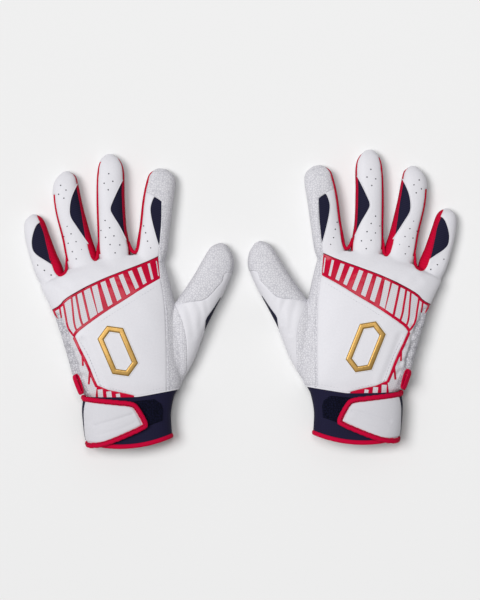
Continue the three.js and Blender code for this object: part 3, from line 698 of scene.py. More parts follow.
def swept(path: np.ndarray, normals: np.ndarray, half_width: float | np.ndarray,
          half_height: float | np.ndarray, closed: bool = False, facets: int = 12,
          square: float = 0.8) -> Shape:
    """A tape or thread along a path: ovals across it, filled out by the power of the sine and cosine.

    Args:
        path: Points of the middle line, in millimetres.
        normals: The direction of the tape's thickness at each point.
        half_width: Half the width across the path.
        half_height: Half the thickness.
        closed: Whether the path joins its own start.
        facets: Points round the oval.
        square: Power of the sine and cosine, where 1 gives an ellipse.

    Returns:
        The closed tape.
    """
    ahead = np.roll(path, -1, axis=0) - np.roll(path, 1, axis=0)
    if not closed:
        ahead[0], ahead[-1] = path[1] - path[0], path[-1] - path[-2]
    ahead = unit(ahead)
    side = unit(np.cross(ahead, normals))
    rise = np.cross(side, ahead)
    angle = np.arange(facets) * 2 * np.pi / facets
    cosine, sine = powered(np.cos(angle), square), powered(np.sin(angle), square)
    wide = np.broadcast_to(half_width, len(path)).copy()
    high = np.broadcast_to(half_height, len(path)).copy()
    if not closed:
        path = np.vstack([path[:1], path, path[-1:]])
        side, rise = (np.vstack([a[:1], a, a[-1:]]) for a in (side, rise))
        wide, high = (np.concatenate([[0.0], a, [0.0]]) for a in (wide, high))
    ring = (path[:, None] + side[:, None] * (wide[:, None] * cosine)[..., None]
            + rise[:, None] * (high[:, None] * sine)[..., None])
    faces = grid_faces(len(path), facets, closed=True)
    if closed:
        first = np.arange(facets)
        last = first + (len(path) - 1) * facets
        faces = np.vstack([faces, np.stack([last, np.roll(last, -1), np.roll(first, -1), first], axis=1)])
    return Shape(ring.reshape(-1, 3), faces[:, ::-1])


def repeated_pads(points: np.ndarray, along: np.ndarray, normals: np.ndarray,
                  size: tuple[float, float, float]) -> Shape:
    """Copies of a small rounded pad, each scaled along, across and above its place on the skin.

    Args:
        points: The middles of the pads.
        along: The direction of the length of each.
        normals: The direction of the height of each.
        size: Half the length, width and height.

    Returns:
        All the pads as one mesh.
    """
    ring = np.arange(PAD_FACETS) * 2 * np.pi / PAD_FACETS
    pad = np.array([[reach * math.cos(turn), reach * math.sin(turn), height]
                    for reach, height in PAD_LEVEL_SHARES for turn in ring])
    side = unit(np.cross(normals, along))
    ahead = np.cross(side, normals)
    local = pad * size
    placed = (points[:, None] + local[None, :, :1] * ahead[:, None] + local[None, :, 1:2] * side[:, None]
              + local[None, :, 2:] * normals[:, None])
    faces = grid_faces(len(PAD_LEVEL_SHARES), PAD_FACETS, closed=True)[:, ::-1]
    starts = np.arange(len(points)) * len(pad)
    return Shape(placed.reshape(-1, 3), (faces[None] + starts[:, None, None]).reshape(-1, 4))


@dataclass
class HandLoft:
    """The hand and cuff as a surface over an angle round the section and a place along the hand."""

    steps: int = 240
    rings: int = 90
    facets: int = 72

    def __post_init__(self) -> None:
        """Works out the fine rows of the sections."""
        rows = HAND_ROWS * (HAND_WIDTH, HAND_LENGTH, HAND_WIDTH, HAND_LENGTH, HAND_THICKNESS, HAND_LENGTH)
        self.rows = self.eased(rows, self.steps)

    @staticmethod
    def eased(rows: np.ndarray, steps: int) -> np.ndarray:
        """Rows between the given ones, on cubic curves through each with slopes from its two neighbours.

        Args:
            rows: Rows of sizes.
            steps: How many rows to make.

        Returns:
            The finer rows.
        """
        place = np.linspace(0, len(rows) - 1, steps)
        start = np.minimum(place.astype(int), len(rows) - 2)
        share = (place - start)[:, None]
        slope = np.gradient(rows, axis=0)
        a, b, sa, sb = rows[start], rows[start + 1], slope[start], slope[start + 1]
        square, cube = share ** 2, share ** 3
        return (a * (2 * cube - 3 * square + 1) + sa * (cube - 2 * square + share)
                + b * (3 * square - 2 * cube) + sb * (cube - square))

    def surface(self, angle: np.ndarray, place: np.ndarray, grow: float = 0.0) -> np.ndarray:
        """Points of the skin, moved outwards by a length.

        The place across is half of one plus a power of the cosine, and the height is the waist plus a power
        of the sine times the dome above it, or the keel below it, which rests on the floor.

        Args:
            angle: Angle round the section, 0 at the thumb side and half of pi on top.
            place: Share of the way from the cuff to the knuckles.
            grow: How far the points move outwards.

        Returns:
            Points in millimetres, shaped as the angles are.
        """
        index = np.arange(self.steps) / (self.steps - 1)
        left_x, left_y, right_x, right_y, top, bow = (
            np.interp(place, index, column) for column in self.rows.T)
        side = unit(np.stack([right_x - left_x, right_y - left_y], axis=-1))
        across = (1 + powered(np.cos(angle), ACROSS_POWER)) / 2
        rise = powered(np.sin(angle), RISE_POWER)
        x = left_x - grow * side[..., 0] + across * (right_x - left_x + 2 * grow * side[..., 0])
        y = left_y - grow * side[..., 1] + across * (right_y - left_y + 2 * grow * side[..., 1])
        bend = 4 * bow * across * (1 - across)
        x, y = x - bend * side[..., 1], y + bend * side[..., 0]
        waist = WAIST_SHARE * top
        high = waist + (top + grow - waist) * rise
        low = np.maximum(max(0.0, -grow), waist + (KEEL_SHARE * waist + grow) * rise)
        return np.stack([x, y, np.where(rise >= 0, high, low)], axis=-1)

    def solid(self, mouth_run: float) -> Shape:
        """The closed hand, run on past the cuff's mouth by a length."""
        turn = np.arange(self.facets) * 2 * np.pi / self.facets
        angle, place = np.meshgrid(turn, np.linspace(0, 1, self.rings))
        ring = self.surface(angle, place)
        return capped(np.concatenate([ring[:1] - (0, mouth_run, 0), ring]))


def capped(ring: np.ndarray) -> Shape:
    """A closed tube from rings of points, with each end drawn in to its own middle."""
    ends = np.broadcast_to(ring[[0, -1]].mean(axis=1, keepdims=True), ring[[0, -1]].shape)
    rings = np.concatenate([ends[:1], ring, ends[1:]])
    return Shape(rings.reshape(-1, 3), grid_faces(rings.shape[0], rings.shape[1], closed=True)[:, ::-1])


def finger_solid(finger: Finger) -> Shape:
    """A finger as a closed tube of rounded sections, by the same formula as the hand's.

    Args:
        finger: The finger.

    Returns:
        The closed finger.
    """
    rows = HandLoft.eased(np.array(finger.sections), FINGER_RINGS)
    angle = np.arange(FINGER_FACETS) * 2 * np.pi / FINGER_FACETS
    across = (1 + powered(np.cos(angle), ACROSS_POWER)) / 2
    rise = powered(np.sin(angle), RISE_POWER)
    along, left, right, height = (rows[:, column][:, None] for column in range(4))
    place = left + (right - left) * across[None, :]
    plan = finger.plan(np.stack([place, np.broadcast_to(along, place.shape)], axis=-1).reshape(-1, 2))
    top = height * finger.thickness
    waist = WAIST_SHARE * top
    z = np.where(rise >= 0, waist + (top - waist) * rise, np.maximum(0.0, waist + KEEL_SHARE * waist * rise))
    return capped(np.column_stack([plan, z.reshape(-1)]).reshape(len(rows), len(angle), 3))


def joined_skin(solids: list[Shape]) -> Shape:
    """One skin round several overlapping solids: their union on a fine lattice, smoothed where they meet.

    Args:
        solids: Closed meshes that overlap.

    Returns:
        The skin, with its lowest points on the floor.
    """
    whole = merged(solids)
    data = bpy.data.meshes.new("solids")
    data.from_pydata((whole.points * MM).tolist(), [], whole.faces.tolist())
    holder = bpy.data.objects.new("solids", data)
    bpy.context.scene.collection.objects.link(holder)
    remesh = holder.modifiers.new("union", "REMESH")
    remesh.mode = "VOXEL"
    remesh.voxel_size = VOXEL * MM
    evaluated = holder.evaluated_get(bpy.context.evaluated_depsgraph_get())
    skin = bpy.data.meshes.new_from_object(evaluated)
    points = np.zeros(len(skin.vertices) * 3, np.float32)
    skin.vertices.foreach_get("co", points)
    faces = np.zeros(len(skin.loops), np.int32)
    skin.loops.foreach_get("vertex_index", faces)
    bpy.data.objects.remove(holder)
    bpy.data.meshes.remove(skin)
    bpy.data.meshes.remove(data)
    shape = Shape(points.reshape(-1, 3).astype(float) / MM, faces.reshape(-1, 4)).smoothed(SMOOTHING_PASSES)
    y, up = shape.points[:, 1], shape.vertex_normals()[:, 2]
    knuckles = (ease((y - KNUCKLE_SPAN[0]) / KNUCKLE_FADE) * ease((KNUCKLE_SPAN[1] - y) / KNUCKLE_FADE)
                * ease((up - KNUCKLE_TILT[0]) / KNUCKLE_TILT[1]))
    shape = shape.levelled(knuckles, KNUCKLE_PASSES)
    shape.points[:, 2] = np.maximum(shape.points[:, 2], 0.0)
    return shape


class GloveSkin:
    """The whole skin of one glove, with the distances that cut it into panels."""

    def __init__(self) -> None:
        """Joins the skin, and works out the distances of its panels and its relief."""
        self.loft = HandLoft()
        self.shape = joined_skin([self.loft.solid(MOUTH_RUN)] + [finger_solid(finger) for finger in FINGERS])
        self.normals = self.shape.vertex_normals()
        self.tree = BVHTree.FromPolygons(self.shape.points.tolist(), self.shape.faces.tolist())
        self.regions = self.panel_regions(self.shape.points)
        upward = ease((self.normals[:, 2] - RELIEF_TILT[0]) / RELIEF_TILT[1])
        self.relief = self.fold_relief(self.shape.points) * upward

    def drop(self, plan: np.ndarray, lift: float = 0.0) -> tuple[np.ndarray, np.ndarray]:
        """Plan points let down on the skin from above, and the skin's normals there.

        Args:
            plan: Points in plan, in millimetres.
            lift: How far above the skin they stay.

        Returns:
            The points and the normals.
        """
        found = []
        for x, y in plan.tolist():
            hit = self.tree.ray_cast((x, y, DROP_HEIGHT), (0.0, 0.0, -1.0))
            found.append(hit[:2] if hit[0] else self.tree.find_nearest((x, y, SEEK_HEIGHT))[:2])
        places, normals = (np.array(rows) for rows in zip(*found))
        return places + lift * normals, normals

    @staticmethod
    def fold_relief(points: np.ndarray) -> np.ndarray:
        """How far each vertex stands out: slow waves, less a valley along each fold, which fades beside it.

        Args:
            points: Points of the skin.

        Returns:
            One height for each point.
        """
        x, y = points[:, 0], points[:, 1]
        bend = WAVE_BEND[0] * np.sin(y / WAVE_BEND[1])
        fine = FINE_WAVE_SHARE * np.sin(x / FINE_WAVE_RUN[0] + y / FINE_WAVE_RUN[1])
        waves = LEATHER_WAVE * (np.sin(x / WAVE_RUN[0] + bend) * np.sin(y / WAVE_RUN[1] + WAVE_START) + fine)
        for line, width, depth in FOLDS:
            away = line_distance(points, smooth_line(line, 2))
            crest = CREST_SHARE * np.exp(-((away - CREST_PLACE * width) / width) ** 2)
            waves += depth * (crest - np.exp(-(away / width) ** 2))
        return waves * ease((points[:, 2] - RELIEF_HEIGHT[0]) / RELIEF_HEIGHT[1])

    @staticmethod
    def web_distance(points: np.ndarray) -> np.ndarray:
        """Distance into the red knit: inside its outline from above, or low on the facing sides.

        A side is low where its height is less than a share of its finger's own top. Each point goes with the
        finger whose axis is nearer as a share of the width, between the axes and up to the outline's ends.

        Args:
            points: Points of the skin.

        Returns:
            One distance for each point.
        """
        red = np.full(len(points), -FAR)
        for (low, high), outline in WEBS.items():
            red = np.maximum(red, inside_distance(points, smooth_line(outline, 1)) + WEB_MARGIN)
            sides = []
            for zone, end, turn, share, start in zip(
                    (low, high), (outline[0][1], outline[-1][1]), (1.0, -1.0), WEB_HEIGHT_SHARES, WEB_STARTS):
                finger = FINGER_OF[zone]
                across, along = finger.measure(points)
                room = least(turn * across, end - points[:, 1], along - start)
                below = share * finger.top(along) - points[:, 2]
                sides.append((np.minimum(below, room), turn * across / finger.width))
            (on_low, share_low), (on_high, share_high) = sides
            between = np.minimum(share_low, share_high) > 0
            red = np.maximum(red, np.where(between, np.where(share_low < share_high, on_low, on_high), -FAR))
        return red

    def panel_regions(self, points: np.ndarray) -> dict[str, np.ndarray]:
        """Signed distances, positive inside each panel, in millimetres.

        Args:
            points: Points of the skin.

        Returns:
            Distances by the name of the panel.
        """
        upper = points[:, 2] - SEAM_HEIGHT
        seams = (STRIPE_TOP, STRIPE_BOTTOM, FLANK_SEAM, WEDGE_SEAM, THUMB_SEAM, STRIP_EDGE, WRIST_SEAM)
        stripe_top, stripe_bottom, flank, wedge, thumb_seam, strip_edge, wrist = (
            smooth_line(line, 1) for line in seams)
        around = np.linspace(np.pi, 0, MOUTH_POINTS)
        mouth = self.loft.surface(around, np.zeros(MOUTH_POINTS))[:, :2] + (0.0, MOUTH_INSET)

        def beyond(line: np.ndarray, away: float) -> np.ndarray:
            """Distance past a line that crosses the glove, on the side where a far-off y lies."""
            closing = [(FAR, line[-1, 1]), (FAR, away), (-FAR, away)]
            return inside_distance(points, [(-FAR, line[0, 1])], line, closing)

        cuff, above_mouth = beyond(wrist, -FAR), beyond(mouth, FAR)
        hand = np.minimum(-cuff, upper)
        strip_low = strip_edge[strip_edge[:, 1] < STRIP_LOW_END][::-1]
        back = inside_distance(points, stripe_bottom, flank, wedge, BACK_CLOSING, strip_low)
        strip = inside_distance(points, strip_edge, STRIP_FOOT, thumb_seam[::-1], STRIP_CLOSING)
        patch = inside_distance(points, smooth_line(PATCH_SEAM, 1), PATCH_CLOSING)
        insert = inside_distance(points, FINGER_OF[Zone.THUMB].plan(INSERT_OUTLINE))
        stripe = inside_distance(points, stripe_top, stripe_bottom, flank, wedge, STRIPE_CLOSING)
        flank_cloth = inside_distance(points, smooth_line(FLANK_EDGE, 1), FLANK_CLOSING)
        knuckle = inside_distance(points, KNUCKLE_START, stripe_top, KNUCKLE_CLOSING)
        right_of_strip = points[:, 0] - np.interp(points[:, 1], thumb_seam[::-1, 1], thumb_seam[::-1, 0],
                                                  left=thumb_seam[-1, 0], right=THUMB_SEAM_TOP)
        gussets = {zone: inside_distance(points, smooth_line(outline, 1, closed=True))
                   for zone, outline in GUSSETS.items()}
        red = np.minimum(self.web_distance(points), upper)
        regions = {
            "palm": np.minimum(-upper, -cuff),
            "cuff": np.minimum(cuff, above_mouth),
            "back": least(back, hand, -strip),
            "stripe": least(stripe, hand, -flank_cloth),
            "flank": least(stripe, hand, flank_cloth),
            "strip": least(strip, hand, -red),
            "patch": least(patch, hand, -strip),
            "insert": np.minimum(insert, upper),
            "base": least(-strip, -patch, right_of_strip + BASE_OVERLAP, hand, -insert),
            "red": red,
            "knuckle": least(knuckle, hand, -red, -strip, *(-distance for distance in gussets.values())),
        }
        for zone, distance in gussets.items():
            regions[f"{zone.value}_gusset"] = least(distance, upper, -red, -strip)
        return regions

    def panel(self, region: str, lift: float, edge: float = 1.0, depth: float = 0.45, overlap: float = 0.35,
              relief: float = 1.0) -> Shape:
        """One panel of the skin, raised, with its border turned down into the seam.

        Args:
            region: Name of the panel's distance.
            lift: Height of the panel above the skin.
            edge: Width over which its border turns down.
            depth: How far below the skin the border ends.
            overlap: How far the panel reaches under its neighbours.
            relief: Share of the folds that it takes.

        Returns:
            The panel, with the normals of its vertices.
        """
        carried = np.column_stack([self.normals, self.relief])
        part, rows = self.shape.clipped(self.regions[region] + overlap, carried)
        drop = (lift + depth) * (1 - rounded_edge(rows[:, 0], edge))
        part = part.raised(rows[:, 1:4], lift - drop + relief * rows[:, 4])
        part.points[:, 2] = np.maximum(part.points[:, 2], FLOOR_GAP)
        part.normals = part.vertex_normals()
        return part


def zone_of(points: np.ndarray) -> np.ndarray:
    """The finger that each plan point belongs to, counted from 1 in the order of FINGERS, or 0 for the hand.

    Args:
        points: Points in plan.

    Returns:
        One number for each point.
    """
    zones = np.zeros(len(points), int)
    best = np.full(len(points), np.inf)
    for number, finger in enumerate(FINGERS, start=1):
        across, along = finger.measure(points)
        apart = np.abs(across) / finger.width
        mine = (along > finger.cut * finger.length) & (apart < finger.reach) & (apart < best)
        zones[mine] = number
        best[mine] = apart[mine]
    return zones


# Scale of a wave texture for one wave to each repeat, and the size and depth of soft patches of shade
WAVE_SHARE = 0.314
PATCH_SIZE = 16.0
PATCH_DEPTH = 0.18


def hex_colour(code: str) -> tuple[float, float, float, float]:
    """Linear colour of an sRGB hex code: below 0.04045 a twelfth or so, above it the power of 2.4.

    Args:
        code: A hash and six hex digits.

    Returns:
        Red, green, blue and an alpha of 1.
    """
    values = [int(code[index:index + 2], 16) / 255 for index in (1, 3, 5)]
    linear = [v / 12.92 if v <= 0.04045 else ((v + 0.055) / 1.055) ** 2.4 for v in values]
    return (*linear, 1.0)


def add_node(tree: bpy.types.NodeTree, kind: str, inputs: dict | None = None,
             **settings: object) -> bpy.types.Node:
    """Adds a shader node with its settings, and gives each named input a value or a link.

    Args:
        tree: The node tree.
        kind: Blender's name for the node, without the word for shader nodes.
        inputs: Values or output sockets by the name or number of the input.
        **settings: Attributes of the node.

    Returns:
        The node.
    """
    item = tree.nodes.new(f"ShaderNode{kind}")
    for key, value in settings.items():
        setattr(item, key, value)
    for key, value in (inputs or {}).items():
        if isinstance(value, bpy.types.NodeSocket):
            tree.links.new(value, item.inputs[key])
        else:
            item.inputs[key].default_value = value
    return item


def new_material(name: str) -> bpy.types.Material:
    """A material with an empty node tree."""
    made = bpy.data.materials.new(name)
    made.use_nodes = True
    made.node_tree.nodes.clear()
    return made


@dataclass(frozen=True)
class Finish:
    """A plain surface of one colour with a fine grain, which the other finishes build on.

    Attributes:
        name: Common name of the material and how its surface was made.
        colour: Base colour as an sRGB hex code.
        shade: Colour of its hollows as an sRGB hex code.
        roughness: Roughness of the surface.
        grain: Spacing of its pattern in millimetres.
        bump: Depth of the pattern in millimetres.
        metallic: 1 for a metal.
        specular: Strength of the mirror light on its face.
        detail: Octaves of its noise.
        turn: Angle in plan by which threads or ribs are turned.
    """

    name: str
    colour: str
    shade: str
    roughness: float
    grain: float
    bump: float
    metallic: float = 0.0
    specular: float = 0.5
    detail: float = 4.0
    turn: float = 0.0

    distortion: ClassVar[float] = 0.0
    wave_detail: ClassVar[float] = 1.0
    noise_roughness: ClassVar[float] = 0.6

    @property
    def scale(self) -> float:
        """Repeats of the pattern in a metre."""
        return 1 / (self.grain * MM)

    def pattern(self, tree: bpy.types.NodeTree, place: bpy.types.NodeSocket) -> bpy.types.NodeSocket:
        """Height of the surface from 0 to 1: fine noise, as in smooth leather."""
        noise = add_node(tree, "TexNoise", {
            "Vector": place, "Scale": self.scale, "Detail": self.detail, "Roughness": self.noise_roughness})
        return noise.outputs["Fac"]

    def waves(self, tree: bpy.types.NodeTree, place: bpy.types.NodeSocket, axis: str) -> bpy.types.NodeSocket:
        """One wave to each thread or rib along an axis, turned in plan and a little uneven.

        Args:
            tree: The material's node tree.
            place: Where on the piece, in metres.
            axis: The axis that the waves run along.

        Returns:
            Heights from 0 to 1.
        """
        turned = add_node(tree, "Mapping", {"Vector": place, "Rotation": (0.0, 0.0, self.turn)})
        wave = add_node(tree, "TexWave", {"Vector": turned.outputs[0], "Scale": WAVE_SHARE * self.scale,
                                          "Distortion": self.distortion, "Detail": self.wave_detail},
                        bands_direction=axis)
        return wave.outputs["Fac"]

    def material(self) -> bpy.types.Material:
        """The material, made once and shared: the height of its pattern moves its colour and its face."""
        made = bpy.data.materials.get(self.name)
        if made:
            return made
        made = new_material(self.name)
        tree = made.node_tree
        place = add_node(tree, "TexCoord").outputs["Object"]
        height = self.pattern(tree, place)
        patches = add_node(tree, "TexNoise", {"Vector": place, "Scale": 1 / (PATCH_SIZE * MM), "Detail": 2.0})
        depth = add_node(tree, "Math", {0: patches.outputs["Fac"], 1: -PATCH_DEPTH, 2: PATCH_DEPTH / 2},
                         operation="MULTIPLY_ADD")
        level = add_node(tree, "Math", {0: height, 1: depth.outputs[0]}, operation="ADD", use_clamp=True)
        shades = {0: level.outputs[0], 6: hex_colour(self.shade), 7: hex_colour(self.colour)}
        colour = add_node(tree, "Mix", shades, data_type="RGBA")
        bump = add_node(tree, "Bump", {"Height": height, "Distance": self.bump * MM, "Strength": 1.0})
        shader = add_node(tree, "BsdfPrincipled", {
            "Base Color": colour.outputs[2], "Normal": bump.outputs["Normal"], "Roughness": self.roughness,
            "Metallic": self.metallic, "Specular IOR Level": self.specular})
        add_node(tree, "OutputMaterial", {"Surface": shader.outputs[0]})
        return made


class PebbledFinish(Finish):
    """A face of small pebbles with grooves between them."""

    unevenness = 0.8
    groove = 0.16

    def pattern(self, tree: bpy.types.NodeTree, place: bpy.types.NodeSocket) -> bpy.types.NodeSocket:
        """Height: the distance to the nearest border between cells, which is nothing in the grooves."""
        cells = add_node(tree, "TexVoronoi", {
            "Vector": place, "Scale": self.scale, "Randomness": self.unevenness}, feature="DISTANCE_TO_EDGE")
        rise = add_node(tree, "MapRange", {"Value": cells.outputs["Distance"], "From Min": 0.0,
                                           "From Max": self.groove}, interpolation_type="SMOOTHSTEP")
        return rise.outputs[0]


class WovenFinish(Finish):
    """Cloth whose threads cross at right angles."""

    distortion = 0.6

    def pattern(self, tree: bpy.types.NodeTree, place: bpy.types.NodeSocket) -> bpy.types.NodeSocket:
        """Height: the mean of two waves at right angles."""
        first, second = (self.waves(tree, place, axis) for axis in ("X", "Y"))
        total = add_node(tree, "Math", {0: first, 1: second}, operation="ADD")
        return add_node(tree, "Math", {0: total.outputs[0], 1: 0.5}, operation="MULTIPLY").outputs[0]


class RibbedFinish(Finish):
    """Elastic knit with ribs."""

    distortion = 0.8
    wave_detail = 2.0

    def pattern(self, tree: bpy.types.NodeTree, place: bpy.types.NodeSocket) -> bpy.types.NodeSocket:
        """Height: one wave across the ribs."""
        return self.waves(tree, place, "X")


# Sheepskin, tanned white and glazed: an even satin face with a fine grain, drawn coarse enough to show
SHEEPSKIN = Finish("sheepskin_tanned_white", "#E3E2E7", "#D8D7DD", 0.5, 1.4, 0.05, specular=0.3)
# The strap's sheepskin: a duller white
STRAP_HIDE = Finish("sheepskin_tanned_dull", "#D6D5DA", "#CBCAD0", 0.55, 1.4, 0.05, specular=0.25)
# Sheepskin embossed with pebbles: matt, greyer in the grooves between them
PEBBLED = PebbledFinish("sheepskin_pebble_embossed", "#DDDCE1", "#C1C0C7", 0.7, 1.9, 0.12, specular=0.25)
# The same skin under the palm
PALM_HIDE = PebbledFinish("sheepskin_palm_embossed", "#D3D2D7", "#B8B7BE", 0.72, 1.9, 0.1, specular=0.25)
# Polyester spacer mesh: grey-white, with fine crossing threads
SPACER_MESH = WovenFinish("polyester_mesh_knitted", "#DBD9DD", "#C5C4CA", 0.75, 1.5, 0.08,
                          turn=math.radians(17), specular=0.25)
# Polyester mesh of the flank: greyer and pebbled
FLANK_MESH = PebbledFinish("polyester_mesh_pebbled", "#CFCED3", "#A5A4AC", 0.8, 1.9, 0.18, specular=0.2)
# Polyurethane film, heat pressed on the mesh: red and glossy
RED_FILM = Finish("polyurethane_film_pressed", "#CA0636", "#AE042C", 0.25, 14.0, 1.0,
                  specular=0.14, detail=0.0)
# Elastane knit of the finger sides: red, matt
RED_KNIT = RibbedFinish("elastane_knit_red", "#CE0436", "#AE0229", 0.85, 1.2, 0.03,
                        turn=math.radians(80), specular=0.1)
# Elastane knit of the gussets: navy, matt
NAVY_KNIT = RibbedFinish("elastane_knit_navy", "#1D1D36", "#131329", 0.85, 1.6, 0.12, turn=math.radians(70),
                         specular=0.2)
# Neoprene-backed elastic of the cuff: navy jersey
NAVY_ELASTIC = WovenFinish("elastic_jersey_navy", "#1B1938", "#131129", 0.85, 1.3, 0.08, specular=0.2)
# Loop pile of the closure: navy, hairy
LOOP_PILE = PebbledFinish("nylon_loop_pile_navy", "#101126", "#060712", 0.95, 1.9, 0.25, specular=0.1)
# Hook tape under the strap
HOOK_TAPE = PebbledFinish("nylon_hook_tape_white", "#D4D4D8", "#A8A8AE", 0.6, 1.2, 0.3)
# Nylon binding tape, woven and folded over the edge: bright red with a low sheen
RED_TAPE = WovenFinish("nylon_tape_woven_red", "#D4033C", "#A8002E", 0.75, 1.2, 0.06, turn=math.radians(45),
                       specular=0.08)
# Gold foil on moulded rubber: satin gold
GOLD_FOIL = Finish("rubber_moulded_gold_foil", "#C29C58", "#A07A3A", 0.4, 3.0, 0.04, metallic=0.6)
# The rubber's pale border
KEYLINE = Finish("rubber_moulded_pale", "#E4E4E8", "#D2D2D8", 0.5, 2.0, 0.02)
# Polyester thread
THREAD = Finish("polyester_thread_white", "#D0D0D6", "#BEBEC6", 0.6, 0.8, 0.05)
# Polyester thread of the strap's binding, a darker red than the tape so that it also paints the shade of its
# stitch groove; the same dark red paints a shadow line along the stripe's top seam
RED_THREAD_AND_PAINTED_SHADE = Finish("polyester_thread_red_and_painted_shade", "#78021E", "#5C0016", 0.6, 0.8, 0.05, specular=0.2)
# The inside of a punched hole, painted as its shadow: a dark colour on small pads in place of real holes
PIN_HOLE_SHADOW = Finish("punched_hole_shadow", "#3E3E46", "#2E2E36", 0.9, 1.0, 0.02)


@dataclass(frozen=True)
class Glove:
    """One glove of the pair: where it lies, and what its pieces ride on."""

    side: Side

    def placed(self, points: np.ndarray) -> np.ndarray:
        """Points of the pattern in the row frame, in metres; the right glove's are mirrored and turned.

        Args:
            points: Points of the pattern, in millimetres.

        Returns:
            The same points in metres.
        """
        x, y, z = points.T
        if self.side is Side.LEFT:
            moved = np.stack([x - PAIR_SPACING / 2, y, z], axis=1)
        else:
            cosine, sine = math.cos(RIGHT_TURN), math.sin(RIGHT_TURN)
            moved = np.stack([-x * cosine - y * sine + PAIR_SPACING / 2 + RIGHT_SHIFT,
                              -x * sine + y * cosine + RIGHT_ADVANCE, z], axis=1)
        moved[:, :2] -= PAIR_MIDDLE
        return moved * MM

    def turned(self, directions: np.ndarray) -> np.ndarray:
        """Directions of the pattern in the row frame."""
        origin = self.placed(np.zeros((1, 3)))
        return (self.placed(directions) - origin) / MM

    def place_one(self, point: tuple[float, float, float]) -> tuple[float, ...]:
        """One point of the pattern in the row frame."""
        return tuple(float(v) for v in self.placed(np.array([point]))[0])

    def node(self, name: str) -> str:
        """The CAD node's name on this side."""
        return f"{self.side.value}_{name}"

    def attach(self, piece: bpy.types.Object, zone: Zone) -> None:
        """Parents a piece to the body of its zone; a finger's piece is not parented, and only has its place
        baked into its mesh.

        Args:
            piece: The piece.
            zone: What it moves with.
        """
        hand = self.node("hand")
        if zone in FINGER_OF:
            finger = FINGER_OF[zone]
            shares = [(0.0, finger.joint + step / finger.length) for step in (-BEND_HALF, BEND_HALF)]
            start, end = (self.place_one((*point, 0.0)) for point in finger.plan(shares))
            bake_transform(piece)
        elif zone is Zone.HAND:
            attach(piece, hand)
        else:
            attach(piece, self.node(zone.value))

    def add(self, name: str, shape: Shape, finish: Finish, slot: str, zone: Zone,
            replaces: tuple[str, ...] = ()) -> bpy.types.Object:
        """Adds one piece to the scene.

        Args:
            name: The piece's name, without its side.
            shape: Its mesh in the pattern's millimetres.
            finish: Its finish.
            slot: The record's material slot, which is not used.
            zone: What it moves with.
            replaces: CAD nodes that it stands for, without their side.

        Returns:
            The object.
        """
        shape = shape.trimmed()
        points = self.placed(shape.points)
        faces = shape.faces if self.side is Side.LEFT else shape.faces[:, ::-1]
        data = bpy.data.meshes.new(self.node(name))
        data.vertices.add(len(points))
        data.vertices.foreach_set("co", points.astype(np.float32).ravel())
        data.loops.add(faces.size)
        data.loops.foreach_set("vertex_index", faces.astype(np.int32).ravel())
        data.polygons.add(len(faces))
        data.polygons.foreach_set("loop_start", np.arange(0, faces.size, 4, dtype=np.int32))
        data.update(calc_edges=True)
        data.validate()
        data.shade_smooth()
        if shape.normals is not None and len(data.vertices) == len(points):
            data.normals_split_custom_set_from_vertices(self.turned(shape.normals).tolist())
        data.materials.append(finish.material())
        piece = bpy.data.objects.new(self.node(name), data)
        bpy.context.scene.collection.objects.link(piece)
        self.attach(piece, zone)
        if replaces:
            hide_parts(*[self.node(item) for item in replaces])
        LOG.info("%s: %d faces on %s", piece.name, len(faces), zone.value)
        return piece


@dataclass(frozen=True)
class Pair:
    """Both gloves, which get every piece alike."""

    gloves: tuple[Glove, ...] = tuple(Glove(side) for side in Side)

    def add(self, name: str, shape: Shape, finish: Finish, slot: str, zone: Zone,
            replaces: tuple[str, ...] = ()) -> list[bpy.types.Object]:
        """Adds one piece to each glove, from what a glove's own method takes."""
        return [glove.add(name, shape, finish, slot, zone, replaces) for glove in self.gloves]

    def split(self, name: str, shape: Shape, finish: Finish, slot: str,
              replaces: dict[Zone, tuple[str, ...]]) -> None:
        """Adds a shape's parts, those on each finger and the one on the hand, with the whole shape's normals.

        Args:
            name: The pieces' common name.
            shape: The whole mesh.
            finish: Their finish.
            slot: The record's material slot.
            replaces: CAD nodes that the part of each zone stands for.
        """
        zones = zone_of(shape.points[shape.faces].mean(axis=1))
        for number, zone in enumerate([Zone.HAND] + [finger.zone for finger in FINGERS]):
            faces = shape.faces[zones == number]
            if len(faces) >= LEAST_FACES:
                part = Shape(shape.points, faces, shape.normals)
                self.add(f"{name}_{zone.value}_skin", part, finish, slot, zone, replaces.get(zone, ()))


@dataclass(frozen=True)
class Panel:
    """How one sewn panel of the skin is made.

    Attributes:
        region: Name of its distance, and of its pieces.
        lift: Height above the skin.
        finish: Its finish.
        slot: The record's material slot.
        replaces: CAD nodes that its parts stand for.
        edge: Width over which its border turns down.
        depth: How far below the skin the border ends.
    """

    region: str
    lift: float
    finish: Finish
    slot: str
    replaces: dict[Zone, tuple[str, ...]]
    edge: float = 1.0
    depth: float = 0.45


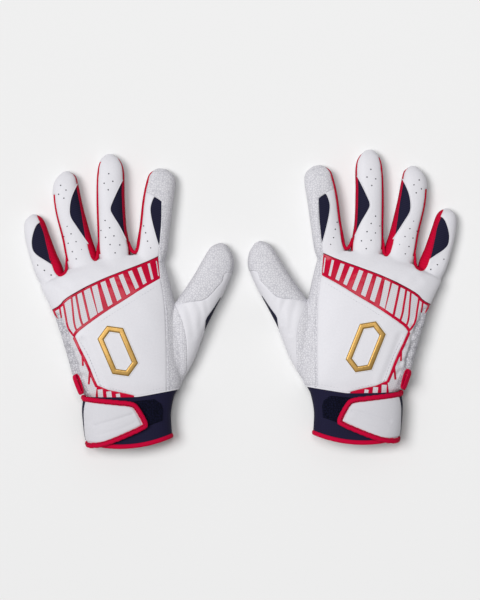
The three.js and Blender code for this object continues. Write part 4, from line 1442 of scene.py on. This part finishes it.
PANELS = (
    Panel("palm", 0.0, PALM_HIDE, "leather_pebbled", {
        Zone.HAND: ("palm",), Zone.LITTLE: ("little_tip_palm",), Zone.RING: ("ring_tip_palm",),
        Zone.MIDDLE: ("middle_tip_palm",)}, edge=0.6, depth=0.2),
    Panel("back", 0.6, SHEEPSKIN, "leather_white", {Zone.HAND: ("back_panel",)}, edge=1.6),
    Panel("knuckle", 0.35, SHEEPSKIN, "leather_white", {
        Zone.HAND: ("knuckle_panel",), Zone.LITTLE: ("little_tip_back",), Zone.RING: ("ring_tip_back",),
        Zone.MIDDLE: ("middle_tip_back",)}, edge=1.2),
    Panel("strip", 0.3, PEBBLED, "leather_pebbled", {Zone.HAND: ("side_strip",), Zone.INDEX: ("index_cap",)}),
    Panel("patch", 0.6, PEBBLED, "leather_pebbled", {
        Zone.HAND: ("thumb_patch",), Zone.THUMB: ("thumb_tip",)}),
    Panel("base", 0.175, SHEEPSKIN, "leather_white", {Zone.HAND: ("thumb_base",)}),
    Panel("insert", -0.35, NAVY_KNIT, "knit_navy", {Zone.HAND: ("thumb_insert",)}, depth=0.0),
    Panel("red", -0.1, RED_KNIT, "knit_red", {
        Zone.HAND: ("web_ring_little", "web_middle_ring", "web_index_middle")}, edge=0.8),
    Panel("stripe", 0.0, SPACER_MESH, "mesh_striped", {Zone.HAND: ("stripe_panel",)}, edge=0.8),
    Panel("flank", -0.1, FLANK_MESH, "mesh_striped", {}, edge=0.8),
)
BACK_PANEL = PANELS[1]
# Fewer faces than this on a finger are left out of a panel
LEAST_FACES = 8


@dataclass
class SkinPanels:
    """The sewn panels: each is cut from the whole skin, raised a little, and split at the fingers."""

    skin: GloveSkin
    gusset_lift: float = -0.35
    gusset_edge: float = 0.6
    gusset_overlap: float = 0.6
    cuff_lift: float = -0.1
    cuff_edge: float = 0.8
    cuff_wall: float = 1.3
    cuff_floor: float = 1.0

    def build(self, pair: Pair) -> None:
        """Cuts and adds every panel of both gloves."""
        for panel in PANELS:
            shape = self.skin.panel(panel.region, panel.lift, panel.edge, panel.depth)
            pair.split(panel.region, shape, panel.finish, panel.slot, panel.replaces)
        for zone in GUSSETS:
            name = f"{zone.value}_gusset"
            shape = self.skin.panel(name, self.gusset_lift, self.gusset_edge, 0.0, self.gusset_overlap)
            pair.add(f"{name}_knit", shape, NAVY_KNIT, "knit_navy", zone, (name,))
        cuff = self.skin.panel("cuff", self.cuff_lift, self.cuff_edge, relief=0.0)
        inner = Shape(cuff.points - self.cuff_wall * cuff.normals, cuff.faces)
        inner.points[:, 2] = np.maximum(inner.points[:, 2], self.cuff_floor)
        shape = merged([cuff, inner.flipped()])
        pair.add("cuff_jersey", shape, NAVY_ELASTIC, "elastic_navy", Zone.HAND, ("cuff",))


@dataclass
class StripeFilm:
    """The glossy red film on the mesh: a band with slots in it, thin bars between them, and two tails."""

    skin: GloveSkin
    lift: float = 0.32
    sunk: float = 0.02
    edge: float = 0.5
    top_band: float = 1.9
    low_band: float = 2.4
    margin: float = 2.5
    overhang: float = 0.2

    def distance(self, points: np.ndarray) -> np.ndarray:
        """Distance into the film: the band less its slots, its two edges, the bars and the wedge below."""
        top, bottom = smooth_line(STRIPE_TOP, 1), smooth_line(STRIPE_BOTTOM, 1)
        band = inside_distance(points, top, bottom, BAND_CLOSING)
        slots, wedge_slots = (
            most(*(slot_distance(points, slot) for slot in group)) for group in (SLOTS, WEDGE_SLOTS))
        edges = np.maximum(self.top_band - line_distance(points, top),
                           self.low_band - line_distance(points, bottom))
        start, end = np.array(SLOTS_END)
        leg = unit(end - start)
        right_of = (points[:, 0] - start[0]) * -leg[1] + (points[:, 1] - start[1]) * leg[0]
        slotted = np.minimum(band, np.maximum(np.minimum(-slots, right_of), edges))
        bars = (width / 2 - line_distance(points, smooth_line(line, 2)) for width, line in BARS)
        wedge = inside_distance(points, WEDGE_START, WEDGE_SEAM, WEDGE_CLOSING)
        regions = self.skin.panel_regions(points)
        cloth = np.maximum(regions["stripe"], regions["flank"]) + self.overhang
        return np.minimum(most(slotted, *bars, np.minimum(wedge, -wedge_slots)), cloth)

    def build(self, pair: Pair) -> None:
        """Cuts the film from a finer copy of the stripe panel and adds it."""
        shape = self.skin.shape
        near = self.skin.regions["stripe"] > -self.margin
        cloth = Shape(shape.points, shape.faces).raised(self.skin.normals, self.skin.relief)
        fine = Shape(cloth.points, shape.faces[near[shape.faces].all(axis=1)]).trimmed().refined(2)
        part, rows = fine.clipped(self.distance(fine.points), fine.vertex_normals())
        film = part.raised(rows[:, 1:4], self.lift * rounded_edge(rows[:, 0], self.edge) - self.sunk)
        pair.add("stripe_film", film, RED_FILM, "mesh_striped", Zone.HAND)


@dataclass
class Badge:
    """A raised gold hexagon, long and open in the middle, on a pale border, on the back panel."""

    skin: GloveSkin
    middle: tuple[float, float] = (-9.2, 34.0)
    turn: float = math.radians(23.0)
    half_width: float = 11.5
    half_length: float = 22.5
    slope: float = 0.6
    bar: float = 4.8
    margin: float = 4.0
    sunk: float = 0.03
    # Its two layers: name, finish, how far it reaches past the ring, its height and its rounded edge
    layers: tuple[tuple[str, Finish, float, float, float], ...] = (
        ("badge_border", KEYLINE, 0.9, 0.3, 0.4), ("badge_gold", GOLD_FOIL, 0.0, 1.1, 1.6))

    def distance(self, points: np.ndarray) -> np.ndarray:
        """Distance into the ring: the least of those from its long sides, its sloping ends and its hole."""
        offset = points[:, :2] - self.middle
        cosine, sine = math.cos(self.turn), math.sin(self.turn)
        x = np.abs(offset[:, 0] * cosine + offset[:, 1] * sine)
        y = np.abs(-offset[:, 0] * sine + offset[:, 1] * cosine)
        ends = (self.half_length - y - self.slope * x) / math.hypot(1.0, self.slope)
        outer = np.minimum(self.half_width - x, ends)
        return np.minimum(outer, self.bar - outer)

    def build(self, pair: Pair) -> None:
        """Cuts the border and the gold from a finer copy of the back panel."""
        back = self.skin.panel(BACK_PANEL.region, BACK_PANEL.lift, BACK_PANEL.edge)
        centre = back.points[back.faces].mean(axis=1)
        near = np.linalg.norm(centre[:, :2] - self.middle, axis=1) < self.half_length + self.margin
        fine = Shape(back.points, back.faces[near]).trimmed().refined(2)
        normals, distance = fine.vertex_normals(), self.distance(fine.points)
        for name, finish, grow, height, edge in self.layers:
            part, rows = fine.clipped(distance + grow, normals)
            layer = part.raised(rows[:, 1:4], height * rounded_edge(rows[:, 0], edge) - self.sunk)
            pair.add(name, layer, finish, "leather_white", Zone.HAND)


@dataclass
class Trim:
    """Rolled edges round gussets and crotches, cords (one a dark line of painted shadow along a seam),
    stitches along seams, and pin holes in the leather drawn as dark pads of painted shadow.
    """

    skin: GloveSkin
    rim_radius: float = 0.45
    rim_lift: float = 0.15
    cord_radius: float = 0.6
    cord_lift: float = 0.2
    cord_pitch: float = 0.8
    seam_shadow_radius: float = 0.4
    seam_shadow_facets: int = 6
    roll_radius: float = 1.5
    roll_thin: float = 0.75
    roll_tall: float = 1.2
    roll_inset: float = 0.9
    roll_height: float = 13.5
    roll_reach: float = 15.0
    roll_left_share: float = 0.6
    roll_slope: float = 0.5
    roll_pitch: float = 0.7
    hold_share: float = 0.8
    hold_depth: float = 0.35
    hold_start: float = 7.0
    hold_run: float = 9.0
    tail: float = 6.0
    tail_share: float = 0.3
    stitch_pitch: float = 2.6
    stitch_length: float = 1.7
    stitch_lift: float = 0.5
    thread_radius: float = 0.22
    hole_radius: float = 0.6
    hole_height: float = 0.12
    hole_lift: float = 0.36

    def cord(self, line: np.ndarray, radius: float, lift: float, facets: int = 8) -> Shape:
        """A round cord along a line in plan, let down on the skin.

        Args:
            line: Points of its line in plan.
            radius: Half its thickness.
            lift: Height of its middle above the skin.
            facets: Points round it.

        Returns:
            The closed cord.
        """
        path, normals = self.skin.drop(along_line(line, self.cord_pitch), lift)
        return swept(path, normals, radius, radius, facets=facets, square=1.0)

    def cords(self, pair: Pair) -> None:
        """Adds the rolled edge of each gusset, a dark red cord of painted shadow along the stripe's top seam,
        and the white piping at the wrist.
        """
        for zone, outline in GUSSETS.items():
            rim = self.cord(smooth_line(outline[:OPEN_CORNERS[zone]], 2), self.rim_radius, self.rim_lift)
            pair.add(f"{zone.value}_gusset_rim", rim, SHEEPSKIN, "leather_white", zone)
        # A thin dark red cord along the stripe's top seam: painted shadow of the knuckle panel's edge on the
        # film
        seam = self.cord(smooth_line(STRIPE_TOP, 1), self.seam_shadow_radius, self.cord_lift, self.seam_shadow_facets)
        pair.add("stripe_seam_shadow_cord", seam, RED_THREAD_AND_PAINTED_SHADE, "mesh_striped", Zone.HAND)
        piping = self.cord(smooth_line(PIPING_LINE, 2), self.cord_radius, self.cord_lift)
        pair.add("wrist_piping", piping, SHEEPSKIN, "leather_white", Zone.HAND)

    def stitches(self, pair: Pair) -> None:
        """Adds the rows of stitches."""
        size = (self.stitch_length / 2, self.thread_radius, self.thread_radius)
        for zone, lines in STITCH_LINES.items():
            rows = (self.skin.drop(along_line(smooth_line(line, 2), self.stitch_pitch), self.stitch_lift)
                    for line in lines)
            pads = [repeated_pads(path, np.gradient(path, axis=0), normals, size) for path, normals in rows]
            pair.add(f"{zone.value}_stitches", merged(pads), THREAD, "leather_white", zone)

    def holes(self, pair: Pair) -> None:
        """Adds the pin holes as small dark pads just proud of the leather: painted shadow in place of real
        holes.
        """
        size = (self.hole_radius, self.hole_radius, self.hole_height)
        for zone, places in PERFORATIONS.items():
            points, normals = self.skin.drop(np.array(places), self.hole_lift)
            along = np.broadcast_to((0.0, 1.0, 0.0), points.shape)
            pads = repeated_pads(points, along, normals, size)
            pair.add(f"{zone.value}_pin_holes", pads, PIN_HOLE_SHADOW, "leather_white", zone)

    def web_edges(self, pair: Pair) -> None:
        """Adds the rolled knit edge round each crotch, which runs on up the side of the finger to its right.

        It hangs freely round the bottom, where it is thick. Further up each point is drawn to the skin.
        """
        for (low, high), outline in WEBS.items():
            line = beside(along_line(smooth_line(outline, 2), self.roll_pitch), -self.roll_inset)
            lowest = int(np.argmin(line[:, 1]))
            number = np.arange(len(line))
            rise = line[:, 1] - line[lowest, 1]
            keep = (number >= lowest) | (rise < self.roll_left_share * self.roll_reach)
            line, rise, before = line[keep], rise[keep], (number < lowest)[keep]
            finger = FINGER_OF[high]
            height = np.minimum(self.roll_height, self.hold_share * finger.top(finger.measure(line)[1]))
            raw = np.column_stack([line, np.where(before, self.roll_height - self.roll_slope * rise, height)])
            found = (self.skin.tree.find_nearest(point) for point in raw.tolist())
            held = np.array([place - self.hold_depth * normal for place, normal, _, _ in found])
            weight = (ease((rise - self.hold_start) / self.hold_run) * ~before)[:, None]
            path = raw * (1 - weight) + held * weight
            for _ in range(4):
                path[1:-1] = (path[:-2] + 2 * path[1:-1] + path[2:]) / 4
            thin = (self.roll_thin - self.roll_radius) * ease(rise / self.roll_reach)
            to_end = np.arange(len(path))[::-1]
            radius = (self.roll_radius + thin) * ease(self.tail_share + to_end / self.tail)
            upright = np.broadcast_to((0.0, 0.0, 1.0), path.shape)
            roll = swept(path, upright, radius, self.roll_tall * radius, square=1.0)
            roll.normals = roll.vertex_normals()
            pair.split(f"{low.value}_web_edge", roll, RED_KNIT, "knit_red", {})

    def build(self, pair: Pair) -> None:
        """Adds all the trim of the skin."""
        self.cords(pair)
        self.web_edges(pair)
        self.stitches(pair)
        self.holes(pair)


@dataclass
class Closure:
    """The cuff's binding, the loop and hook patches, and the padded strap with its binding."""

    skin: GloveSkin
    grid: tuple[int, int] = (120, 150)
    grid_angle: float = 0.75
    grid_place: float = 0.33
    cuff_rows: int = 110
    path_points: int = 150
    hinge_points: int = 8
    strap_foot: float = 1.2
    strap_top: float = 4.7
    strap_mid: float = 3.15
    under_gap: float = 0.3
    inset: float = 1.6
    crown: float = 0.5
    crown_start: float = 2.0
    crown_run: float = 7.0
    sunk: float = 1.3
    sunk_start: float = 1.9
    crease_width: float = 1.3
    binding_half: float = 2.15
    hem_height: float = 19.0
    hem_lean: float = 0.12
    hem_middle: float = -24.0
    hinge_angle: float = math.pi - 0.06
    stitch_span: tuple[float, float, int] = (0.04, 0.96, 62)
    stitch_inset: float = 1.1
    stitch_rise: float = 2.1
    stitch_size: tuple[float, float, float] = (0.9, 0.38, 0.25)
    tape_points: int = 120
    tape_place: float = 0.002
    tape_least_run: float = 0.3
    tape_half: tuple[float, float] = (1.9, 1.4)
    tape_sunk: float = 0.6
    tape_advance: float = 1.2
    loop_height: float = 1.0
    hook_height: float = 1.45
    patch_edge: float = 1.2
    patch_drop: float = 0.7

    def locate(self, plan: np.ndarray) -> tuple[np.ndarray, np.ndarray]:
        """The angle and place on the hand's loft of plan points near the cuff.

        The place is where the section's line passes through the point, and the angle is the arc cosine of the
        share across taken to the power that undoes the section's own.

        Args:
            plan: Points in plan.

        Returns:
            The angles and the places.
        """
        loft = self.skin.loft
        left_x, left_y, right_x, right_y, _, bow = loft.rows[:self.cuff_rows].T
        across = (plan[:, :1] - left_x) / (right_x - left_x)
        y = left_y + across * (right_y - left_y) + 4 * bow * np.clip(across * (1 - across), 0, 1)
        order = np.abs(y - plan[:, 1:]).argmin(axis=1)
        share = np.clip(across[np.arange(len(plan)), order], 0, 1) * 2 - 1
        return np.arccos(powered(share, 1 / ACROSS_POWER)), order / (loft.steps - 1)

    def sheet(self, grow: float) -> Shape:
        """A fine grid over the cuff's left side and top at a height above it.

        Args:
            grow: Height above the cuff.

        Returns:
            The open grid.
        """
        rows, columns = self.grid
        angle, place = np.meshgrid(np.linspace(self.hinge_angle, self.grid_angle, columns),
                                   np.linspace(0.0, self.grid_place, rows))
        return Shape(self.skin.loft.surface(angle, place, grow).reshape(-1, 3), grid_faces(rows, columns))

    def strap_distance(self, points: np.ndarray) -> np.ndarray:
        """Distance into the strap's outline inside its binding, which runs on past the hinge on its left."""
        edge = smooth_line(STRAP_EDGE, 2)
        start, end = ([(STRAP_FAR_LEFT, edge[row, 1])] for row in (0, -1))
        return inside_distance(points, start, edge, end) - self.inset

    def binding_path(self, inset: float, level: float) -> np.ndarray:
        """The line of the strap's edge, moved inwards, at a level above the cuff, and run on to the hinge.

        Args:
            inset: How far inwards it moves.
            level: Height above the cuff.

        Returns:
            Evenly spaced points.
        """
        plan = along_line(beside(along_line(smooth_line(STRAP_EDGE, 2), 1.0), inset), 1.0)
        angle, place = self.locate(plan)
        start = np.linspace(self.hinge_angle, angle[0], self.hinge_points)[:-1]
        end = np.linspace(angle[-1], self.hinge_angle, self.hinge_points)[1:]
        angle = np.concatenate([start, angle, end])
        place = np.pad(place, self.hinge_points - 1, mode="edge")
        path = self.skin.loft.surface(angle, place, level)
        return resampled(smooth_line(path, 2), np.linspace(0, 1, self.path_points))

    def strap_sheets(self) -> tuple[Shape, Shape]:
        """The strap's body, a crowned top and a flat underside that meet in its binding, and its navy hem.

        The top lies low beside the binding, and rises over the next 1.6 mm and then slowly to its crown.
        """
        top = self.sheet(self.strap_top)
        part, rows = top.clipped(self.strap_distance(top.points), top.vertex_normals())
        inner = rows[:, 0]
        crown = (self.crown * ease((inner - self.crown_start) / self.crown_run)
                 - self.sunk * (1 - ease((inner - self.sunk_start) / self.inset)))
        for line, depth in STRAP_CREASES:
            crown -= depth * np.exp(-(line_distance(part.points, line) / self.crease_width) ** 2)
        part = part.raised(rows[:, 1:4], crown)
        normals = part.vertex_normals()
        centre = part.points[part.faces].mean(axis=1)
        low = centre[:, 2] < self.hem_height + self.hem_lean * (centre[:, 1] - self.hem_middle)
        foot = self.sheet(self.strap_foot + self.under_gap)
        under, _ = foot.clipped(self.strap_distance(foot.points))
        body = merged([Shape(part.points, part.faces[~low]).trimmed(), under.flipped()])
        return body, Shape(part.points, part.faces[low], normals)

    def strap(self, pair: Pair) -> None:
        """Adds the strap, its hem, its binding and the stitches that hold the binding."""
        body, hem = self.strap_sheets()
        for piece in pair.add("strap_leather", body, STRAP_HIDE, "leather_white", Zone.STRAP, ("strap",)):
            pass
        pair.add("strap_hem", hem, NAVY_ELASTIC, "elastic_navy", Zone.STRAP)
        level = self.strap_mid
        half = self.binding_half
        path, above = (self.binding_path(half, height) for height in (level, level + 1.0))
        binding = swept(path, unit(above - path), half, half, facets=20, square=0.75)
        pair.add("strap_tape", binding, RED_TAPE, "binding_red", Zone.STRAP, ("strap_binding",))
        level += self.stitch_rise
        spread = np.linspace(*self.stitch_span)
        seam, over = (resampled(self.binding_path(half + self.stitch_inset, height), spread)
                      for height in (level, level + 1.0))
        # The stitches' dark red also paints the shade of the groove they sit in
        stitches = repeated_pads(seam, np.gradient(seam, axis=0), unit(over - seam), self.stitch_size)
        pair.add("strap_stitches", stitches, RED_THREAD_AND_PAINTED_SHADE, "binding_red", Zone.STRAP)

    def cuff_tape(self, pair: Pair) -> None:
        """Adds the binding round the cuff's mouth."""
        angle = np.arange(self.tape_points) * 2 * np.pi / self.tape_points
        place = np.full(self.tape_points, self.tape_place)
        path, outer = (self.skin.loft.surface(angle, place, grow) + (0.0, self.tape_advance, 0.0)
                       for grow in (-self.tape_sunk, 1.0 - self.tape_sunk))
        out = outer - path
        out[np.linalg.norm(out, axis=1) < self.tape_least_run] = (0.0, 0.0, -1.0)
        tape = swept(path, unit(out), *self.tape_half, closed=True, facets=14, square=0.85)
        tape.points[:, 2] = np.maximum(tape.points[:, 2], FLOOR_GAP)
        pair.add("cuff_tape", tape, RED_TAPE, "binding_red", Zone.HAND, ("cuff_binding",))

    def patches(self, pair: Pair) -> None:
        """Adds the loop patch on the cuff and the hook patch, which faces down, under the strap."""
        for name, outline, height, finish, zone in (
                ("loop_patch", LOOP_OUTLINE, self.loop_height, LOOP_PILE, Zone.HAND),
                ("hook_patch", HOOK_OUTLINE, self.hook_height, HOOK_TAPE, Zone.STRAP)):
            top = self.sheet(height)
            inside = inside_distance(top.points, smooth_line(outline, 1, closed=True))
            part, rows = top.clipped(inside, top.vertex_normals())
            drop = self.patch_drop * (rounded_edge(rows[:, 0], self.patch_edge) - 1)
            part = part.raised(rows[:, 1:4], drop)
            shape = part if zone is Zone.HAND else part.flipped()
            pair.add(f"{name}_pile", shape, finish, "hook_and_loop", zone, (name,))

    def build(self, pair: Pair) -> None:
        """Adds the whole closure."""
        self.strap(pair)
        self.cuff_tape(pair)
        self.patches(pair)


@dataclass
class PullTab:
    """The webbing loop at the wrist: a tape carried round a drop, which leans over so that its eye shows."""

    place: tuple[float, float] = (-0.385 * HAND_WIDTH, 0.06 * HAND_LENGTH)
    height: float = 0.82 * HAND_THICKNESS
    length: float = 17.5
    base_rise: float = 3.6
    tip_rise: float = 5.6
    width: float = 4.6
    tape: float = 1.3
    lean: float = math.radians(19)
    pitch: float = math.radians(12)
    roll: float = math.radians(48)
    steps: int = 56
    end_power: float = 0.6
    side_power: float = 0.7

    def build(self, pair: Pair) -> None:
        """Adds the loop: an oval whose height goes evenly from that at its base to that at its tip."""
        angle = np.linspace(0, 2 * np.pi, self.steps, endpoint=False)
        share = (1 + powered(np.cos(angle), self.end_power)) / 2
        rise_size = (self.base_rise + share * (self.tip_rise - self.base_rise) - self.tape) / 2
        along = (share - 0.5) * (self.length - self.tape)
        rise = rise_size * powered(np.sin(angle), self.side_power)
        level = math.cos(self.pitch)
        forward = np.array([-math.sin(self.lean) * level, math.cos(self.lean) * level, -math.sin(self.pitch)])
        flat = np.array([math.cos(self.lean), math.sin(self.lean), 0.0])
        tall = math.cos(self.roll) * np.cross(flat, forward) - math.sin(self.roll) * flat
        path = np.array([*self.place, self.height]) + along[:, None] * forward + rise[:, None] * tall
        ahead = np.roll(path, -1, axis=0) - np.roll(path, 1, axis=0)
        out = unit(np.cross(np.cross(tall, forward), ahead))
        loop = swept(path, out, self.width / 2, self.tape / 2, closed=True, square=0.6)
        pair.add("tab_webbing", loop, RED_TAPE, "binding_red", Zone.TAB, ("pull_tab",))


@dataclass
class Studio:
    """The floor, the soft lights and the camera straight above."""

    floor_colour: str = "#EFEFEF"
    floor_half: float = 4.0
    lens: float = 200.0
    sensor: float = 36.0
    frame_width: float = 0.3936
    aim: tuple[float, float] = (-0.0005, -0.0012)
    level: float = 0.012
    world_strength: float = 0.22
    sun_strength: float = 2.06
    sun_angle: float = 0.5
    sun_place: tuple[float, float, float] = (-0.45, 0.1, 0.89)
    softbox_power: float = 10.3
    softbox_size: float = 0.6
    softbox_place: tuple[float, float, float] = (0.0, 0.5, 2.2)
    sight: float = 20.0

    def build(self) -> None:
        """Adds the floor, world, lights and camera."""
        half = self.floor_half
        data = bpy.data.meshes.new("floor")
        corners = [(-half, -half, 0), (half, -half, 0), (half, half, 0), (-half, half, 0)]
        data.from_pydata(corners, [], [(0, 1, 2, 3)])
        data.materials.append(self.floor_material())
        floor = self.added("floor", data)
        scene = bpy.context.scene
        scene.view_settings.view_transform = "Standard"
        scene.world = bpy.data.worlds.new("studio")
        scene.world.use_nodes = True
        light = scene.world.node_tree.nodes["Background"].inputs
        light[0].default_value, light[1].default_value = (1, 1, 1, 1), self.world_strength
        sun = bpy.data.lights.new("key", "SUN")
        sun.energy, sun.angle = self.sun_strength, self.sun_angle
        softbox = bpy.data.lights.new("top", "AREA")
        softbox.energy, softbox.size = self.softbox_power, self.softbox_size
        for lamp, place in ((sun, self.sun_place), (softbox, self.softbox_place)):
            holder = self.added(lamp.name, lamp, place)
            holder.rotation_euler = (-Vector(place)).to_track_quat("-Z", "Y").to_euler()
        camera = bpy.data.cameras.new("camera")
        camera.lens, camera.sensor_width, camera.sensor_fit = self.lens, self.sensor, "HORIZONTAL"
        camera.clip_end = self.sight
        height = self.level + self.frame_width * self.lens / self.sensor
        scene.camera = self.added("camera", camera, (*self.aim, height))

    def floor_material(self) -> bpy.types.Material:
        """Matt paper, printed with nothing."""
        made = new_material("paper_sweep_matt")
        shader = add_node(made.node_tree, "BsdfPrincipled", {
            "Base Color": hex_colour(self.floor_colour), "Roughness": 1.0, "Specular IOR Level": 0.0})
        add_node(made.node_tree, "OutputMaterial", {"Surface": shader.outputs[0]})
        return made

    @staticmethod
    def added(name: str, data: bpy.types.ID,
              place: tuple[float, float, float] = (0.0, 0.0, 0.0)) -> bpy.types.Object:
        """A new object of the scene at a place.

        Args:
            name: Its name.
            data: Its mesh, light or camera.
            place: Where it stands.

        Returns:
            The object.
        """
        made = bpy.data.objects.new(name, data)
        bpy.context.scene.collection.objects.link(made)
        made.location = place
        return made


def main() -> None:
    """Builds the studio and then every piece of both gloves, in order."""
    logging.basicConfig(level=logging.INFO, format="%(message)s")
    Studio().build()
    skin, pair = GloveSkin(), Pair()
    for assembly in (SkinPanels(skin), StripeFilm(skin), Badge(skin), Trim(skin), Closure(skin), PullTab()):
        LOG.info("building %s", type(assembly).__name__)
        assembly.build(pair)


if __name__ == "__main__":
    main()
